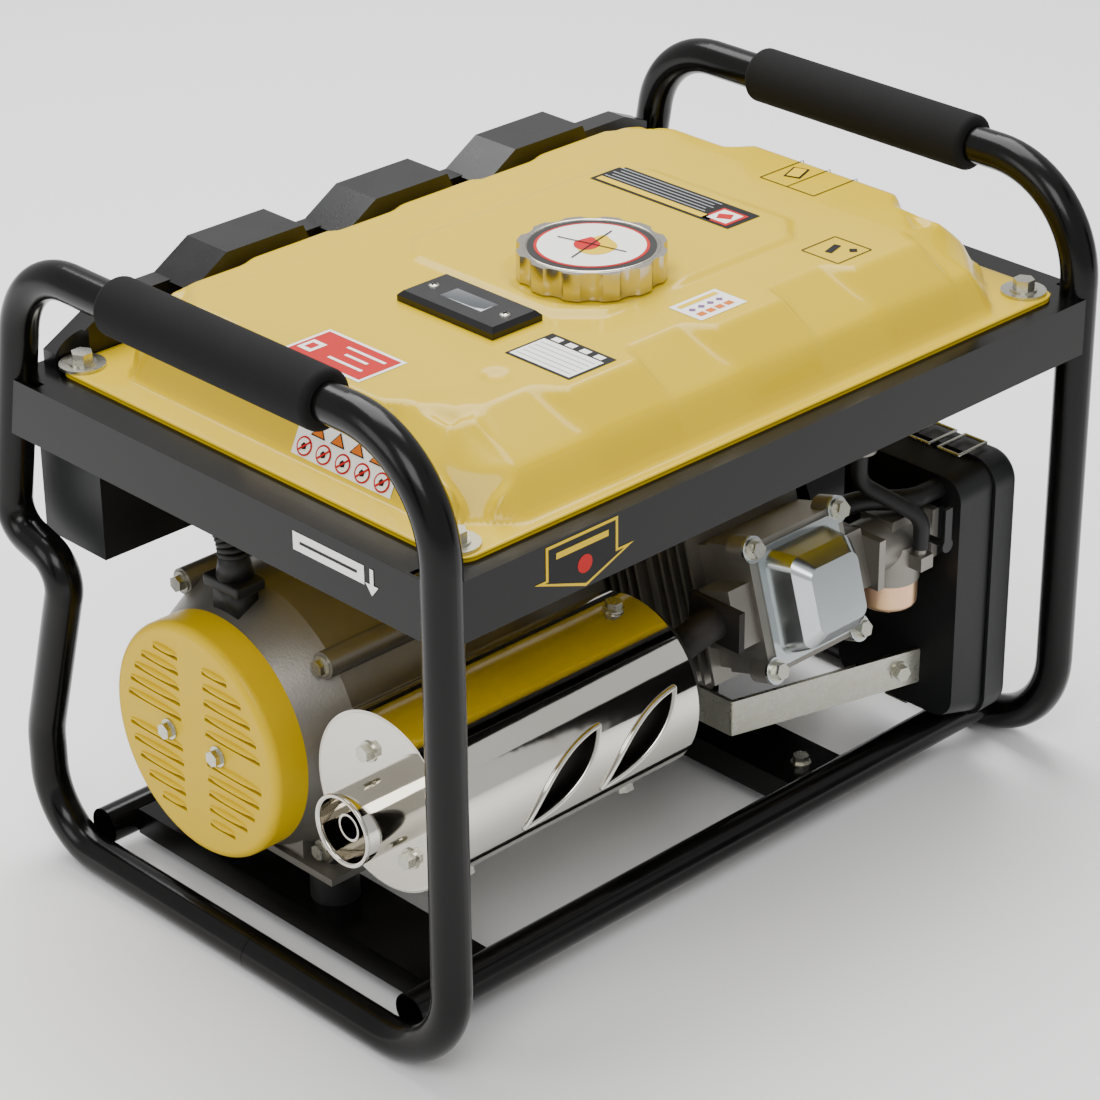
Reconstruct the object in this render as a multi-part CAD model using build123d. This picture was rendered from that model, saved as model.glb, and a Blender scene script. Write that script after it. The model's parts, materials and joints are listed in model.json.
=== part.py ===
from build123d import *
import os
from math import cos, sin, radians, sqrt, atan2, degrees

os.makedirs("parts", exist_ok=True)

# Portable open-frame generator. +X runs along the crankshaft towards the recoil starter, -Y is the
# muffler and cylinder side, +Y the control panel side, +Z up. The origin is under the middle of the
# frame, on the floor. All sizes are in millimetres.

# ---------------------------------------------------------------- driving dimensions
length = 590.0            # over both hoops
width = 434.0             # over the near legs and the knee of the far legs
height = 440.0            # floor to the top of the hoops
tube_d = 25.0             # frame tube
tube_wall = 1.5
bend_top_r = 72.0
bend_top_far_r = 58.0
bend_low_r = 62.0
knee_r = 22.0

far_top_y = 174.0         # far leg where it meets the top bar
knee_drop = 202.0         # from the top of the frame to the knee
knee_in_y = 152.0         # inner end of the knee
far_foot_y = 190.0
rail_y = 151.0
rail_z = 25.0
grip_d = 38.0
grip_length = 192.0
grip_mid_y = -16.0

belt_top = 349.0
belt_height = 39.0
belt_plate = 2.5
belt_ledge = 30.0
belt_side_out = 11.0      # plate face outside the middle plane of the near legs
belt_end_out = 9.5
belt_far_y = 190.0

tank_half_x = 266.0
tank_y0 = -201.0
tank_y1 = 170.0
tank_sheet = 1.5
tank_top = 398.0
tank_shoulder = 376.0
tank_floor = 290.0
cap_x = 0.0
cap_y = -38.0
cap_d = 96.0
cap_top = 417.0
neck_d = 62.0
gauge_x = -94.0
gauge_y = -26.0

crank_x = 65.0            # middle of the cylinder along the crankshaft
crank_y = 42.0
crank_z = 137.0
cylinder_tilt = 16.0      # cylinder axis above the horizontal, leaning towards -Y
bore_r = 34.0
throw = 22.5
rod_length = 80.0
case_half_x = 60.0
case_wall = 18.0
case_low = 60.0
case_high = 203.0
barrel_from = 62.0
barrel_to = 128.0
head_to = 217.0
cover_bolt_x = 40.0
cover_bolt_y = 41.0
running = 0.05

alt_face_x = -274.0
alt_cover_depth = 26.0
alt_cover_r = 80.0
alt_body_r = 94.0
stator_r = 84.0
rotor_r = 52.0

muffler_y = -120.0
muffler_z = 157.0
muffler_r = 59.0
muffler_x0 = -258.0
muffler_x1 = -46.0
tip_z = 151.0
tip_r = 23.5
tip_x0 = -292.0

box_x0 = 200.0            # air filter, from the carburettor side
box_split = 226.0
box_x1 = 250.0
box_y0 = -190.0
box_y1 = -72.0
box_z0 = 41.0
box_z1 = 238.0

port_from = 200.0         # intake and exhaust ports, along the cylinder axis
carb_x0 = 128.0
carb_x1 = 194.0
bowl_x = 166.0

shroud_r = 98.0
shroud_x0 = 129.0
shroud_x1 = 200.0
recoil_x1 = 262.0
reel_r = 50.0

panel_half_x = 262.0
panel_y0 = 138.0
panel_y1 = 200.0
panel_z0 = 226.0
panel_wall = 3.0

# ---------------------------------------------------------------- helpers
half_l = length / 2
half_w = width / 2
tube_r = tube_d / 2
hoop_x = half_l - tube_r
near_y = -(half_w - tube_r)
top_z = height - tube_r
written = []


def save(shape, name):
    """Write one node, and keep its name."""
    export_step(shape, f"parts/{name}.step")
    written.append(name)


def block(x0, x1, y0, y1, z0, z1):
    """An axis-aligned block between two corners."""
    return Pos((x0 + x1) / 2, (y0 + y1) / 2, (z0 + z1) / 2) * Box(x1 - x0, y1 - y0, z1 - z0)


def rod_x(radius, x0, x1, y, z):
    """A cylinder along X."""
    return Pos((x0 + x1) / 2, y, z) * Rot(0, 90, 0) * Cylinder(radius, x1 - x0)


def rod_y(radius, y0, y1, x, z):
    """A cylinder along Y."""
    return Pos(x, (y0 + y1) / 2, z) * Rot(90, 0, 0) * Cylinder(radius, y1 - y0)


def rod_z(radius, z0, z1, x, y):
    """A cylinder along Z."""
    return Pos(x, y, (z0 + z1) / 2) * Cylinder(radius, z1 - z0)


def ring_x(outer, inner, x0, x1, y, z):
    """A tube along X."""
    return rod_x(outer, x0, x1, y, z) - rod_x(inner, x0 - 1, x1 + 1, y, z)


def ring_z(outer, inner, z0, z1, x, y):
    """A tube along Z."""
    return rod_z(outer, z0, z1, x, y) - rod_z(inner, z0 - 1, z1 + 1, x, y)


def in_cylinder(shape):
    """Place a shape drawn about the cylinder axis (local +Z) on the engine."""
    return Pos(crank_x, crank_y, crank_z) * Rot(90 - cylinder_tilt, 0, 0) * shape


def local_box(hx, hy, z0, z1):
    """A block centred on the local Z axis."""
    return Pos(0, 0, (z0 + z1) / 2) * Box(2 * hx, 2 * hy, z1 - z0)


def local_rod(radius, z0, z1, x=0.0, y=0.0):
    """A cylinder along the local Z axis."""
    return Pos(x, y, (z0 + z1) / 2) * Cylinder(radius, z1 - z0)


def hex_bolt(size, shank):
    """A flanged hex bolt: head up +Z from the seat at z=0, shank down."""
    head = Pos(0, 0, 0.9 * size / 2 + 1.0) * extrude(RegularPolygon(size, 6), 0.45 * size, both=True)
    flange = Pos(0, 0, 0.6) * Cylinder(1.25 * size, 1.2)
    return flange + (head & Pos(0, 0, size) * Box(4 * size, 4 * size, 2 * size)) \
        + Pos(0, 0, -shank / 2) * Cylinder(0.55 * size, shank)


bolt_size = 5.6
bolt_shank_r = 0.55 * bolt_size
bolt_shank = 10.0


def loft_plates(levels):
    """A solid through rounded plates: (x0, x1, y0, y1, z, corner) from bottom to top."""
    faces = []
    for x0, x1, y0, y1, z, corner in levels:
        faces.append(Pos((x0 + x1) / 2, (y0 + y1) / 2, z) * RectangleRounded(x1 - x0, y1 - y0, corner))
    return loft(faces, ruled=True)


def tube_along(points, radii, radius):
    """A round bar along straight runs joined by tangent arcs."""
    path = FilletPolyline(*points, radius=radii)
    return sweep(Plane(origin=path @ 0, z_dir=path % 0) * Circle(radius), path=path)


# ---------------------------------------------------------------- frame
knee_z = height - knee_drop
knee_y = half_w - tube_r + 3.2
seam_y = -20.0


def hoop(x):
    """One bent tube hoop: plain near leg, and a far leg with a knee under the control panel."""
    corners = [
        (near_y, tube_r, bend_low_r),
        (near_y, top_z, bend_top_r),
        (far_top_y, top_z, bend_top_far_r),
        (knee_y, knee_z, knee_r),
        (knee_in_y, knee_z - 16.0, knee_r),
        (far_foot_y, 90.0, 60.0),
        (far_foot_y, tube_r, 50.0),
    ]
    points = [(x, seam_y, tube_r)] + [(x, y, z) for y, z, r in corners] + [(x, seam_y + 0.5, tube_r)]
    path = FilletPolyline(*points, radius=[r for y, z, r in corners])
    start = Plane(origin=path @ 0, z_dir=path % 0)
    return sweep(start * (Circle(tube_r) - Circle(tube_r - tube_wall)), path=path)


def far_leg_y(z):
    """Middle of the far leg above the knee."""
    return far_top_y + (top_z - z) / (top_z - knee_z) * (knee_y - far_top_y)


def hoop_keep_out(grow):
    """The space that both hoops' near and far legs take, for trimming what is welded to them."""
    shapes = []
    for x in (-hoop_x, hoop_x):
        shapes.append(rod_z(tube_r + grow, 0, height, x, near_y))
        low = Vector(x, knee_y, knee_z)
        high = Vector(x, far_top_y, top_z)
        leg = Plane(origin=(low + high) / 2, z_dir=high - low) * Cylinder(tube_r + grow, (high - low).length)
        shapes.append(leg)
    return shapes


save(Compound(children=[hoop(-hoop_x), hoop(hoop_x)]), "frame_hoops")

# side rails butt against the low bends of the hoops
rail_end = hoop_x - tube_r - 0.2
crank_feet = ((-70.0, 60.0), (-72.0, 56.0))
members = []
for side in (-1, 1):
    members.append(ring_x(tube_r, tube_r - tube_wall, -rail_end, rail_end, side * rail_y, rail_z))
member_y = rail_y - tube_r
member_x = (-222.0, 108.0)
member_half = 26.0
member_bolt_y = 129.0
member_hole_r = 3.3
mount_low = 33.0
stud_r = 4.0
for x in member_x:
    plate = block(x - member_half, x + member_half, -member_y - 4, member_y + 4, 30.0, 33.0)
    for edge in (-1, 1):
        lip_x = x + edge * (member_half - 1.5)
        plate += block(lip_x - 1.5, lip_x + 1.5, -member_y - 4, member_y + 4, 14.0, 33.0)
    for side in (-1, 1):
        plate -= rod_x(tube_r, -half_l, half_l, side * rail_y, rail_z)
        plate -= rod_z(member_hole_r, 0, mount_low + 1, x, side * member_bolt_y)
    for foot in crank_feet[member_x.index(x)]:
        plate -= rod_z(stud_r, 0, mount_low + 1, x, crank_y + foot)
    members.append(plate)
save(Compound(children=members), "base_rails")

# tank belt: four angle plates welded between the legs
belt_low = belt_top - belt_height
side_y = near_y - belt_side_out
end_x = hoop_x + belt_end_out
belt = []
for y, out in ((side_y, 1), (belt_far_y, -1)):
    inner_y = y + out * belt_plate
    web = block(-hoop_x, hoop_x, min(y, inner_y), max(y, inner_y), belt_low, belt_top)
    ledge = block(-hoop_x, hoop_x, min(y, y + out * belt_ledge), max(y, y + out * belt_ledge),
                  belt_top - belt_plate, belt_top)
    belt.append(web + ledge)
for out in (-1, 1):
    x = out * end_x
    inner = x - out * belt_plate
    ledge_x = x - out * (belt_ledge + 4)
    ledge = block(min(x, ledge_x), max(x, ledge_x), side_y + belt_ledge, belt_far_y - belt_ledge,
                  belt_top - belt_plate, belt_top)
    web = block(min(x, inner), max(x, inner), near_y + 6, belt_far_y - 2, belt_low, belt_top)
    belt.append(web + ledge)
bolt_x = 252.0
bolt_y = (-183.0, 161.0)
tab = 12.0
ledge_z = belt_top - belt_plate
tab_spans = ((side_y + belt_ledge, bolt_y[0] + tab), (bolt_y[1] - tab, belt_far_y - belt_ledge))
for index, (tab_y0, tab_y1) in enumerate(tab_spans):
    belt[index] += block(-bolt_x - 6, -bolt_x + tab, tab_y0, tab_y1, ledge_z, belt_top)
    belt[index] += block(bolt_x - tab, bolt_x + 6, tab_y0, tab_y1, ledge_z, belt_top)
tank_bolt_spots = [(x, y) for x in (-bolt_x, bolt_x) for y in bolt_y]
bolt_hole_r = 4.5
legs = hoop_keep_out(0.0)
trimmed = []
for plate in belt:
    for leg in legs:
        plate = plate - leg
    for x, y in tank_bolt_spots:
        plate = plate - rod_z(bolt_hole_r, belt_low, belt_top + 1, x, y)
    trimmed.append(max(plate.solids(), key=lambda piece: piece.volume))
save(Compound(children=trimmed), "tank_belt")

grips = []
for x in (-hoop_x, hoop_x):
    y0 = grip_mid_y - grip_length / 2
    y1 = grip_mid_y + grip_length / 2
    foam = rod_y(grip_d / 2, y0, y1, x, top_z)
    foam = fillet(foam.edges().filter_by(GeomType.CIRCLE), 4.0)
    grips.append(foam - rod_y(tube_r, y0 - 1, y1 + 1, x, top_z))
save(Compound(children=grips), "handle_grips")

# rubber mounts stand on the cross-members
mount_high = 52.0
mount_spots = [(x, crank_y + foot) for x, feet in zip(member_x, crank_feet) for foot in feet]
mounts = []
for x, y in mount_spots:
    rubber = rod_z(16.0, mount_low, mount_high, x, y)
    mounts.append(rubber + rod_z(stud_r, mount_low - 12, mount_high + 9, x, y))
save(Compound(children=mounts), "rubber_mounts")

# ---------------------------------------------------------------- tank
seam_z = belt_top + tank_sheet
flange_z = seam_z + tank_sheet
body = [
    (-244.0, 246.0, -191.0, 158.0, flange_z - 0.01, 38.0),
    (-232.0, 240.0, -174.0, 150.0, tank_shoulder, 28.0),
    (-214.0, 234.0, -143.0, 136.0, tank_top, 24.0),
]
hollow = [
    (-242.0, 244.0, -189.0, 156.0, seam_z - 0.5, 37.0),
    (-230.4, 238.4, -172.4, 148.4, tank_shoulder - tank_sheet, 27.0),
    (-213.0, 233.0, -142.0, 135.0, tank_top - tank_sheet, 23.0),
]
flange_corner = 14.0
rim = extrude(Pos(0, (tank_y0 + tank_y1) / 2, seam_z)
              * RectangleRounded(2 * tank_half_x, tank_y1 - tank_y0, flange_corner), tank_sheet)
upper = rim + loft_plates(body) - loft_plates(hollow)
neck_low = tank_top - 22.0
upper -= rod_z(neck_d / 2, tank_top - 5, tank_top + 5, cap_x, cap_y)
neck_top = tank_top + 5.0
upper += ring_z(neck_d / 2 + tank_sheet, neck_d / 2, neck_low, neck_top, cap_x, cap_y)
slot_half_x = 9.0
slot_half_y = 22.0
upper -= block(gauge_x - slot_half_x, gauge_x + slot_half_x, gauge_y - slot_half_y, gauge_y + slot_half_y,
               tank_top - 5, tank_top + 5)

low_rim = extrude(Pos(0, (tank_y0 + tank_y1) / 2, belt_top)
                  * RectangleRounded(2 * tank_half_x, tank_y1 - tank_y0, flange_corner), tank_sheet)
pan = [
    (-206.0, 206.0, -158.0, 122.0, tank_floor, 30.0),
    (-238.0, 236.0, -183.0, 150.0, belt_top + 0.01, 30.0),
]
pan_hollow = [
    (-204.6, 204.6, -156.6, 120.6, tank_floor + tank_sheet, 29.0),
    (-236.2, 234.2, -181.2, 148.2, seam_z + 0.5, 29.0),
]
lower = low_rim + loft_plates(pan) - loft_plates(pan_hollow)
valve_x = 138.0
valve_y = -146.0
valve_r = 7.0
for x, y in tank_bolt_spots:
    upper -= rod_z(bolt_hole_r, belt_top - 1, flange_z + 1, x, y)
    lower -= rod_z(bolt_hole_r, belt_top - 1, flange_z + 1, x, y)
lower -= rod_z(valve_r, tank_floor - 2, tank_floor + 4, valve_x, valve_y)
save(upper, "tank_upper")
save(lower, "tank_lower")

washer_r = 15.0
tank_bolts = []
for x, y in tank_bolt_spots:
    washer = rod_z(washer_r, flange_z, flange_z + 2.0, x, y) - rod_z(4.2, 0, height, x, y)
    tank_bolts.append(washer)
    bolt = Pos(x, y, flange_z + 2.0) * hex_bolt(7.2, 10.0)
    tank_bolts.append(bolt)
save(Compound(children=tank_bolts), "tank_bolts")

# filler cap: skirt outside the neck, lobes round the edge
cap_low = tank_top + 1.0
cap = rod_z(cap_d / 2, cap_low, cap_top, cap_x, cap_y)
lobes = 12
for step in range(lobes):
    angle = radians((step + 0.5) * 360.0 / lobes)
    lobe_r = cap_d / 2 + 9.0
    cap -= rod_z(12.0, cap_low - 1, cap_top + 1, cap_x + lobe_r * cos(angle), cap_y + lobe_r * sin(angle))
cap -= rod_z(neck_d / 2 + tank_sheet + 0.6, cap_low - 1, neck_top + 0.6, cap_x, cap_y)
save(cap, "fuel_cap")

bezel_half_x = 21.0
bezel_half_y = 43.0
bezel = block(gauge_x - bezel_half_x, gauge_x + bezel_half_x, gauge_y - bezel_half_y,
              gauge_y + bezel_half_y, tank_top, tank_top + 7.0)
bezel = chamfer(bezel.edges().group_by(Axis.Z)[-1], 3.0)
bezel -= block(gauge_x - 6.5, gauge_x + 6.5, gauge_y - 16, gauge_y + 16, tank_top - 1, tank_top + 9)
save(bezel, "gauge_bezel")
needle_y = gauge_y - 14.0
needle = block(gauge_x - 4.0, gauge_x + 4.0, needle_y, needle_y + 20.0, tank_top - 1.2, tank_top + 0.2)
needle += rod_x(1.6, gauge_x - 4.0, gauge_x + 4.0, needle_y, tank_top - 0.5)
save(needle, "gauge_needle")

# fuel valve under the tank, its lever and the hoses
valve_low = tank_floor - 26.0
valve = rod_z(valve_r, tank_floor - 6, tank_floor + 3, valve_x, valve_y)
valve += rod_z(11.0, valve_low, tank_floor - 0.1, valve_x, valve_y)
valve += rod_z(4.0, valve_low - 12, valve_low, valve_x, valve_y)
lever_z = (valve_low + tank_floor) / 2
lever_y = valve_y - 11.5
valve += rod_y(5.0, lever_y + 0.2, valve_y, valve_x, lever_z)
save(valve, "fuel_valve")
lever = rod_y(6.0, lever_y - 5, lever_y, valve_x, lever_z)
lever += block(valve_x - 3, valve_x + 24, lever_y - 5, lever_y, lever_z - 3, lever_z + 3)
save(lever, "fuel_valve_lever")

# ---------------------------------------------------------------- engine
cavity_r = 52.0
journal_r = 12.5
case_x0 = crank_x - case_half_x
case_x1 = crank_x + case_half_x
case = block(case_x0, case_x1, crank_y - case_half_x, crank_y + case_half_x, case_low, case_high)
case += in_cylinder(local_box(50, 50, 0, barrel_from))
case -= in_cylinder(local_box(80, 90, barrel_from, barrel_from + 60))
case -= rod_x(cavity_r, case_x0 + case_wall, case_x1 - case_wall, crank_y, crank_z)
case -= in_cylinder(local_rod(bore_r + 3.5, 0, barrel_from + 5))
case -= rod_x(journal_r + running, case_x0 - 1, case_x1 + 1, crank_y, crank_z)
for side in (-1, 1):
    foot_y = crank_y + side * 66.0
    case += block(case_x0 + 10, case_x1 - 10, foot_y - 16, foot_y + 16, mount_high, mount_high + 12)
case += block(case_x0 + 10, case_x1 - 10, crank_y - 70, crank_y + 70, mount_high + 8, case_low + 6)
for x, y in mount_spots[2:]:
    case -= rod_z(stud_r, mount_high - 1, mount_high + 40, x, y)
dipstick_x = case_x0 + 22.0
dipstick_z = case_low + 24.0
dipstick_r = 11.0
case_far_y = crank_y + case_half_x
case -= rod_y(dipstick_r + 0.2, case_far_y - 14, case_far_y + 1, dipstick_x, dipstick_z)
save(case, "crankcase")

dipstick = rod_y(dipstick_r, case_far_y - 12, case_far_y + 0.3, dipstick_x, dipstick_z)
dipstick += rod_y(15.0, case_far_y + 0.3, case_far_y + 12, dipstick_x, dipstick_z)
dipstick += block(dipstick_x - 13, dipstick_x + 13, case_far_y + 12, case_far_y + 20,
                  dipstick_z - 3, dipstick_z + 3)
save(dipstick, "dipstick")

# crankshaft, with round webs either side of the crankpin
web_gap = 10.0
web_t = 11.0
web_r = 44.0
pin_r = 15.0
rotor_x0 = -190.0
rotor_x1 = -92.0
crank_x0 = rotor_x0 - 46.0
crank_x1 = shroud_x1 + 6.0
shaft = rod_x(journal_r, crank_x0, crank_x - web_gap, crank_y, crank_z)
shaft += rod_x(journal_r, crank_x + web_gap, crank_x1, crank_y, crank_z)
for side in (-1, 1):
    near = crank_x + side * web_gap
    far = crank_x + side * (web_gap + web_t)
    shaft += rod_x(web_r, min(near, far), max(near, far), crank_y, crank_z)
tilt_y = -cos(radians(cylinder_tilt))
tilt_z = sin(radians(cylinder_tilt))
pin_y = crank_y + throw * tilt_y
pin_z = crank_z + throw * tilt_z
shaft += rod_x(pin_r, crank_x - web_gap, crank_x + web_gap, pin_y, pin_z)
save(shaft, "crankshaft")

# connecting rod: parallel to the cylinder at rest
eye_half = web_gap - 0.5
small_eye = throw + rod_length
big = Pos(0, 0, throw) * Rot(0, 90, 0) * Cylinder(pin_r + 5, 2 * eye_half)
small = Pos(0, 0, small_eye) * Rot(0, 90, 0) * Cylinder(7.0, 16.0)
shank = local_box(4.5, 5.5, throw + pin_r, small_eye - 5)
wrist = Pos(0, 0, small_eye) * Rot(0, 90, 0) * Cylinder(4.5, 20.0)
big_hole = Pos(0, 0, throw) * Rot(0, 90, 0) * Cylinder(pin_r + running, 40.0)
save(in_cylinder(big + small + shank + wrist - big_hole), "connecting_rod")

crown = small_eye + 20.0
piston = local_rod(bore_r - running, small_eye - 20, crown)
piston -= local_rod(bore_r - 3.0, small_eye - 21, crown - 5)
for groove in range(3):
    groove_z = crown - 4.0 - 4.0 * groove
    piston -= local_rod(bore_r + 1, groove_z - 0.8, groove_z + 0.8) - local_rod(bore_r - 1.6, 0, 300)
save(in_cylinder(piston), "piston")

fin_pitch = 9.0
fin_t = 2.6
barrel = local_rod(bore_r + 7, barrel_from, barrel_to) + local_box(46, 46, barrel_from, barrel_from + 6)
barrel += local_box(46, 46, barrel_to - 6, barrel_to)
barrel_fins = 6
for index in range(1, barrel_fins + 1):
    fin_z = barrel_from + 3 + index * fin_pitch
    if fin_z + fin_t < barrel_to - 6:
        barrel += local_box(54, 52, fin_z, fin_z + fin_t)
barrel -= local_rod(bore_r, barrel_from - 1, barrel_to + 1)
save(in_cylinder(barrel), "cylinder_barrel")

head_block = 185.0
port_half = 20.0
port_face = 63.0
head = local_box(43, 42, barrel_to, head_block)
head_fins = 5
for index in range(head_fins):
    fin_z = barrel_to + 5 + index * fin_pitch
    head += local_box(52, 52, fin_z, fin_z + fin_t)
head += local_box(44, 44, head_block - 4, head_to)
for side in (-1, 1):
    head += Pos(side * (port_face - 13), 0, port_from) * Box(26, 2 * port_half, 26)
    head -= Pos(side * port_face, 0, port_from) * Rot(0, 90, 0) * Cylinder(11.0, 36)
    for across in (-1, 1):
        ear = local_rod(9.0, head_to - 14, head_to, side * cover_bolt_x, across * cover_bolt_y)
        head += ear
head -= local_rod(bore_r - 2, barrel_to - 1, barrel_to + 9)
head -= local_box(34, 34, head_block + 4, head_to + 1)
for side in (-1, 1):
    for across in (-1, 1):
        head -= local_rod(3.2, head_to - 12, head_to + 1, side * cover_bolt_x, across * cover_bolt_y)
plug_z = barrel_to + 26.0
head -= Pos(0, 50, plug_z) * Rot(90, 0, 0) * Cylinder(7.0, 60)
save(in_cylinder(head), "cylinder_head")

# pressed valve cover: flange with four ears, and a faceted dome
flange_t = 2.0
dome_from = head_to + flange_t
cover = extrude(Pos(0, 0, head_to) * RectangleRounded(76, 80, 10), flange_t)
for side in (-1, 1):
    for across in (-1, 1):
        cover += local_rod(9.0, head_to, dome_from, side * cover_bolt_x, across * cover_bolt_y)
dome = loft([Pos(0, 0, head_to) * RectangleRounded(66, 72, 10),
             Pos(0, 0, dome_from + 18) * RectangleRounded(58, 62, 9),
             Pos(0, 0, dome_from + 28) * RectangleRounded(44, 44, 7)], ruled=True)
dome_hollow = loft([Pos(0, 0, head_to - 0.5) * RectangleRounded(63, 69, 9),
                    Pos(0, 0, dome_from + 17) * RectangleRounded(55, 59, 8),
                    Pos(0, 0, dome_from + 26.6) * RectangleRounded(42, 42, 6)], ruled=True)
cover = cover + dome - dome_hollow
for side in (-1, 1):
    for across in (-1, 1):
        cover -= local_rod(3.4, head_to - 1, dome_from + 1, side * cover_bolt_x, across * cover_bolt_y)
save(in_cylinder(cover), "valve_cover")

plug_seat = 42.0
plug = Pos(0, 35.5, plug_z) * Rot(90, 0, 0) * Cylinder(7.0, 29)
plug += Pos(0, plug_seat + 14, plug_z) * Rot(90, 0, 0) * Cylinder(5.0, 16)
save(in_cylinder(plug), "spark_plug")

# ---------------------------------------------------------------- flywheel side
wheel_x0 = shroud_x0 + 16.0
wheel_x1 = wheel_x0 + 30.0
wheel_r = 84.0
wheel = rod_x(wheel_r, wheel_x0, wheel_x0 + 12, crank_y, crank_z) \
    + rod_x(60.0, wheel_x0, wheel_x1, crank_y, crank_z)
blades = 16
for index in range(blades):
    angle = 360.0 * index / blades
    blade = Pos(wheel_x0 + 20, 0, 70) * Box(18, 3, 26)
    wheel += Pos(0, crank_y, crank_z) * Rot(angle, 0, 0) * blade
wheel -= rod_x(journal_r, wheel_x0 - 1, wheel_x1 + 1, crank_y, crank_z)
save(wheel, "flywheel")

shroud_wall = 2.0
shroud = ring_x(shroud_r, shroud_r - shroud_wall, shroud_x0, shroud_x1, crank_y, crank_z)
shroud += ring_x(shroud_r, 70.0, shroud_x1 - shroud_wall, shroud_x1, crank_y, crank_z)
shroud += ring_x(shroud_r, 40.0, shroud_x0, shroud_x0 + shroud_wall, crank_y, crank_z)
lead_r = 3.5
lead_y = crank_y - wheel_r - 6.0
shroud -= rod_x(lead_r + 1.8, shroud_x0 - 1, shroud_x0 + 3, lead_y, crank_z)
save(shroud, "blower_housing")

recoil_r = 82.0
recoil = ring_x(recoil_r, recoil_r - shroud_wall, shroud_x1, recoil_x1, crank_y, crank_z)
recoil += rod_x(recoil_r, recoil_x1 - shroud_wall, recoil_x1, crank_y, crank_z)
recoil += ring_x(recoil_r + 12, recoil_r - 1, shroud_x1, shroud_x1 + shroud_wall, crank_y, crank_z)
handle_y = crank_y + 46.0
handle_z = crank_z + 46.0
rope_hole_r = 6.0
recoil -= rod_x(rope_hole_r, recoil_x1 - 5, recoil_x1 + 5, handle_y, handle_z)
vents = 10
for index in range(vents):
    angle = 360.0 * index / vents + 18.0
    vent = Pos(recoil_x1, 0, 30) * Box(10, 6, 26)
    recoil -= Pos(0, crank_y, crank_z) * Rot(angle, 0, 0) * vent
stub_r = 9.0
recoil += rod_x(stub_r, recoil_x1 - 30, recoil_x1 - 1, crank_y, crank_z)
save(recoil, "recoil_cover")

reel_x1 = recoil_x1 - shroud_wall - 4.0
reel = rod_x(reel_r, reel_x1 - 18, reel_x1, crank_y, crank_z) \
    - ring_x(reel_r + 1, reel_r - 6, reel_x1 - 14, reel_x1 - 4, crank_y, crank_z) \
    - rod_x(stub_r + running, reel_x1 - 19, reel_x1 + 1, crank_y, crank_z)
save(reel, "recoil_reel")

pull = rod_x(2.2, recoil_x1 - 1, recoil_x1 + 4, handle_y, handle_z)
grip_t = fillet((Pos(recoil_x1 + 11, handle_y, handle_z) * Box(16, 78, 15)).edges().filter_by(Axis.Y), 6.0)
save(pull + grip_t, "pull_handle")

coil_y = crank_y - wheel_r - 2.5
coil_t = 7.0
coil_x0 = wheel_x0 - 4.0
coil = block(coil_x0, coil_x0 + 16, coil_y - coil_t, coil_y, crank_z - 16, crank_z + 16)
save(coil, "ignition_coil")

# ---------------------------------------------------------------- alternator
cover_back_x = alt_face_x + alt_cover_depth
front_x0 = -78.0
core_x0 = -186.0
core_x1 = -96.0

end_cover = rod_x(alt_cover_r, alt_face_x, cover_back_x, crank_y, crank_z)
end_cover = fillet(end_cover.edges().group_by(Axis.X)[0], 6.0)
end_cover -= rod_x(alt_cover_r - 2.5, alt_face_x + 2.5, cover_back_x + 1, crank_y, crank_z)
louvre_pitch = 11.0
louvres = 11
for index in range(louvres):
    offset = (index - (louvres - 1) / 2) * louvre_pitch
    reach = sqrt((alt_cover_r - 14) ** 2 - offset ** 2)
    for side in (-1, 1):
        inner = 12.0
        if reach - inner > 8 and abs(offset) > 0.1:
            mid = crank_y + side * (inner + reach) / 2
            end_cover -= Pos(alt_face_x, mid, crank_z + offset) * Box(8, reach - inner, 2.6)
cover_screw = 24.0
for side in (-1, 1):
    end_cover -= rod_x(3.2, alt_face_x - 1, alt_face_x + 4, crank_y + side * cover_screw, crank_z)
    end_cover += ring_x(7.0, 3.2, alt_face_x + 2, cover_back_x, crank_y + side * cover_screw, crank_z)
save(end_cover, "alternator_cover")

# rear housing: a cone that opens towards the stator, with four bolt lugs and a foot
rear_inner = alt_cover_r - 6.0
rear_outline = loft([Plane.YZ.offset(cover_back_x) * Pos(crank_y, crank_z) * Circle(alt_cover_r - 1),
                     Plane.YZ.offset(cover_back_x + 32) * Pos(crank_y, crank_z) * Circle(alt_body_r)])
rear = rear_outline + rod_x(alt_body_r, cover_back_x + 32, core_x0, crank_y, crank_z)
rear += rod_x(alt_cover_r - 3.5, alt_face_x + 10, cover_back_x, crank_y, crank_z)
lug_r = 97.0
lug_angles = (48.0, 138.0, 228.0, 318.0)
lug_x0 = cover_back_x + 22.0
for angle in lug_angles:
    y = crank_y + lug_r * cos(radians(angle))
    z = crank_z + lug_r * sin(radians(angle))
    rear += rod_x(9.0, lug_x0, core_x0, y, z)
    rear -= rod_x(bolt_shank_r, lug_x0 - 1, lug_x0 + 12, y, z)
rear += block(member_x[0] - 16, member_x[0] + 16, crank_y - 86, crank_y + 86, mount_high, mount_high + 5)
rear += block(member_x[0] - 12, member_x[0] + 12, crank_y - 54, crank_y + 54, mount_high, crank_z - 40)
rear -= rod_x(alt_body_r - 6, cover_back_x + 34, core_x0 + 1, crank_y, crank_z)
rear -= rod_x(rear_inner - 2, alt_face_x + 9, cover_back_x + 2, crank_y, crank_z)
rear -= rod_x(journal_r + running, cover_back_x - 1, cover_back_x + 60, crank_y, crank_z)
spoke_windows = 4
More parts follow.
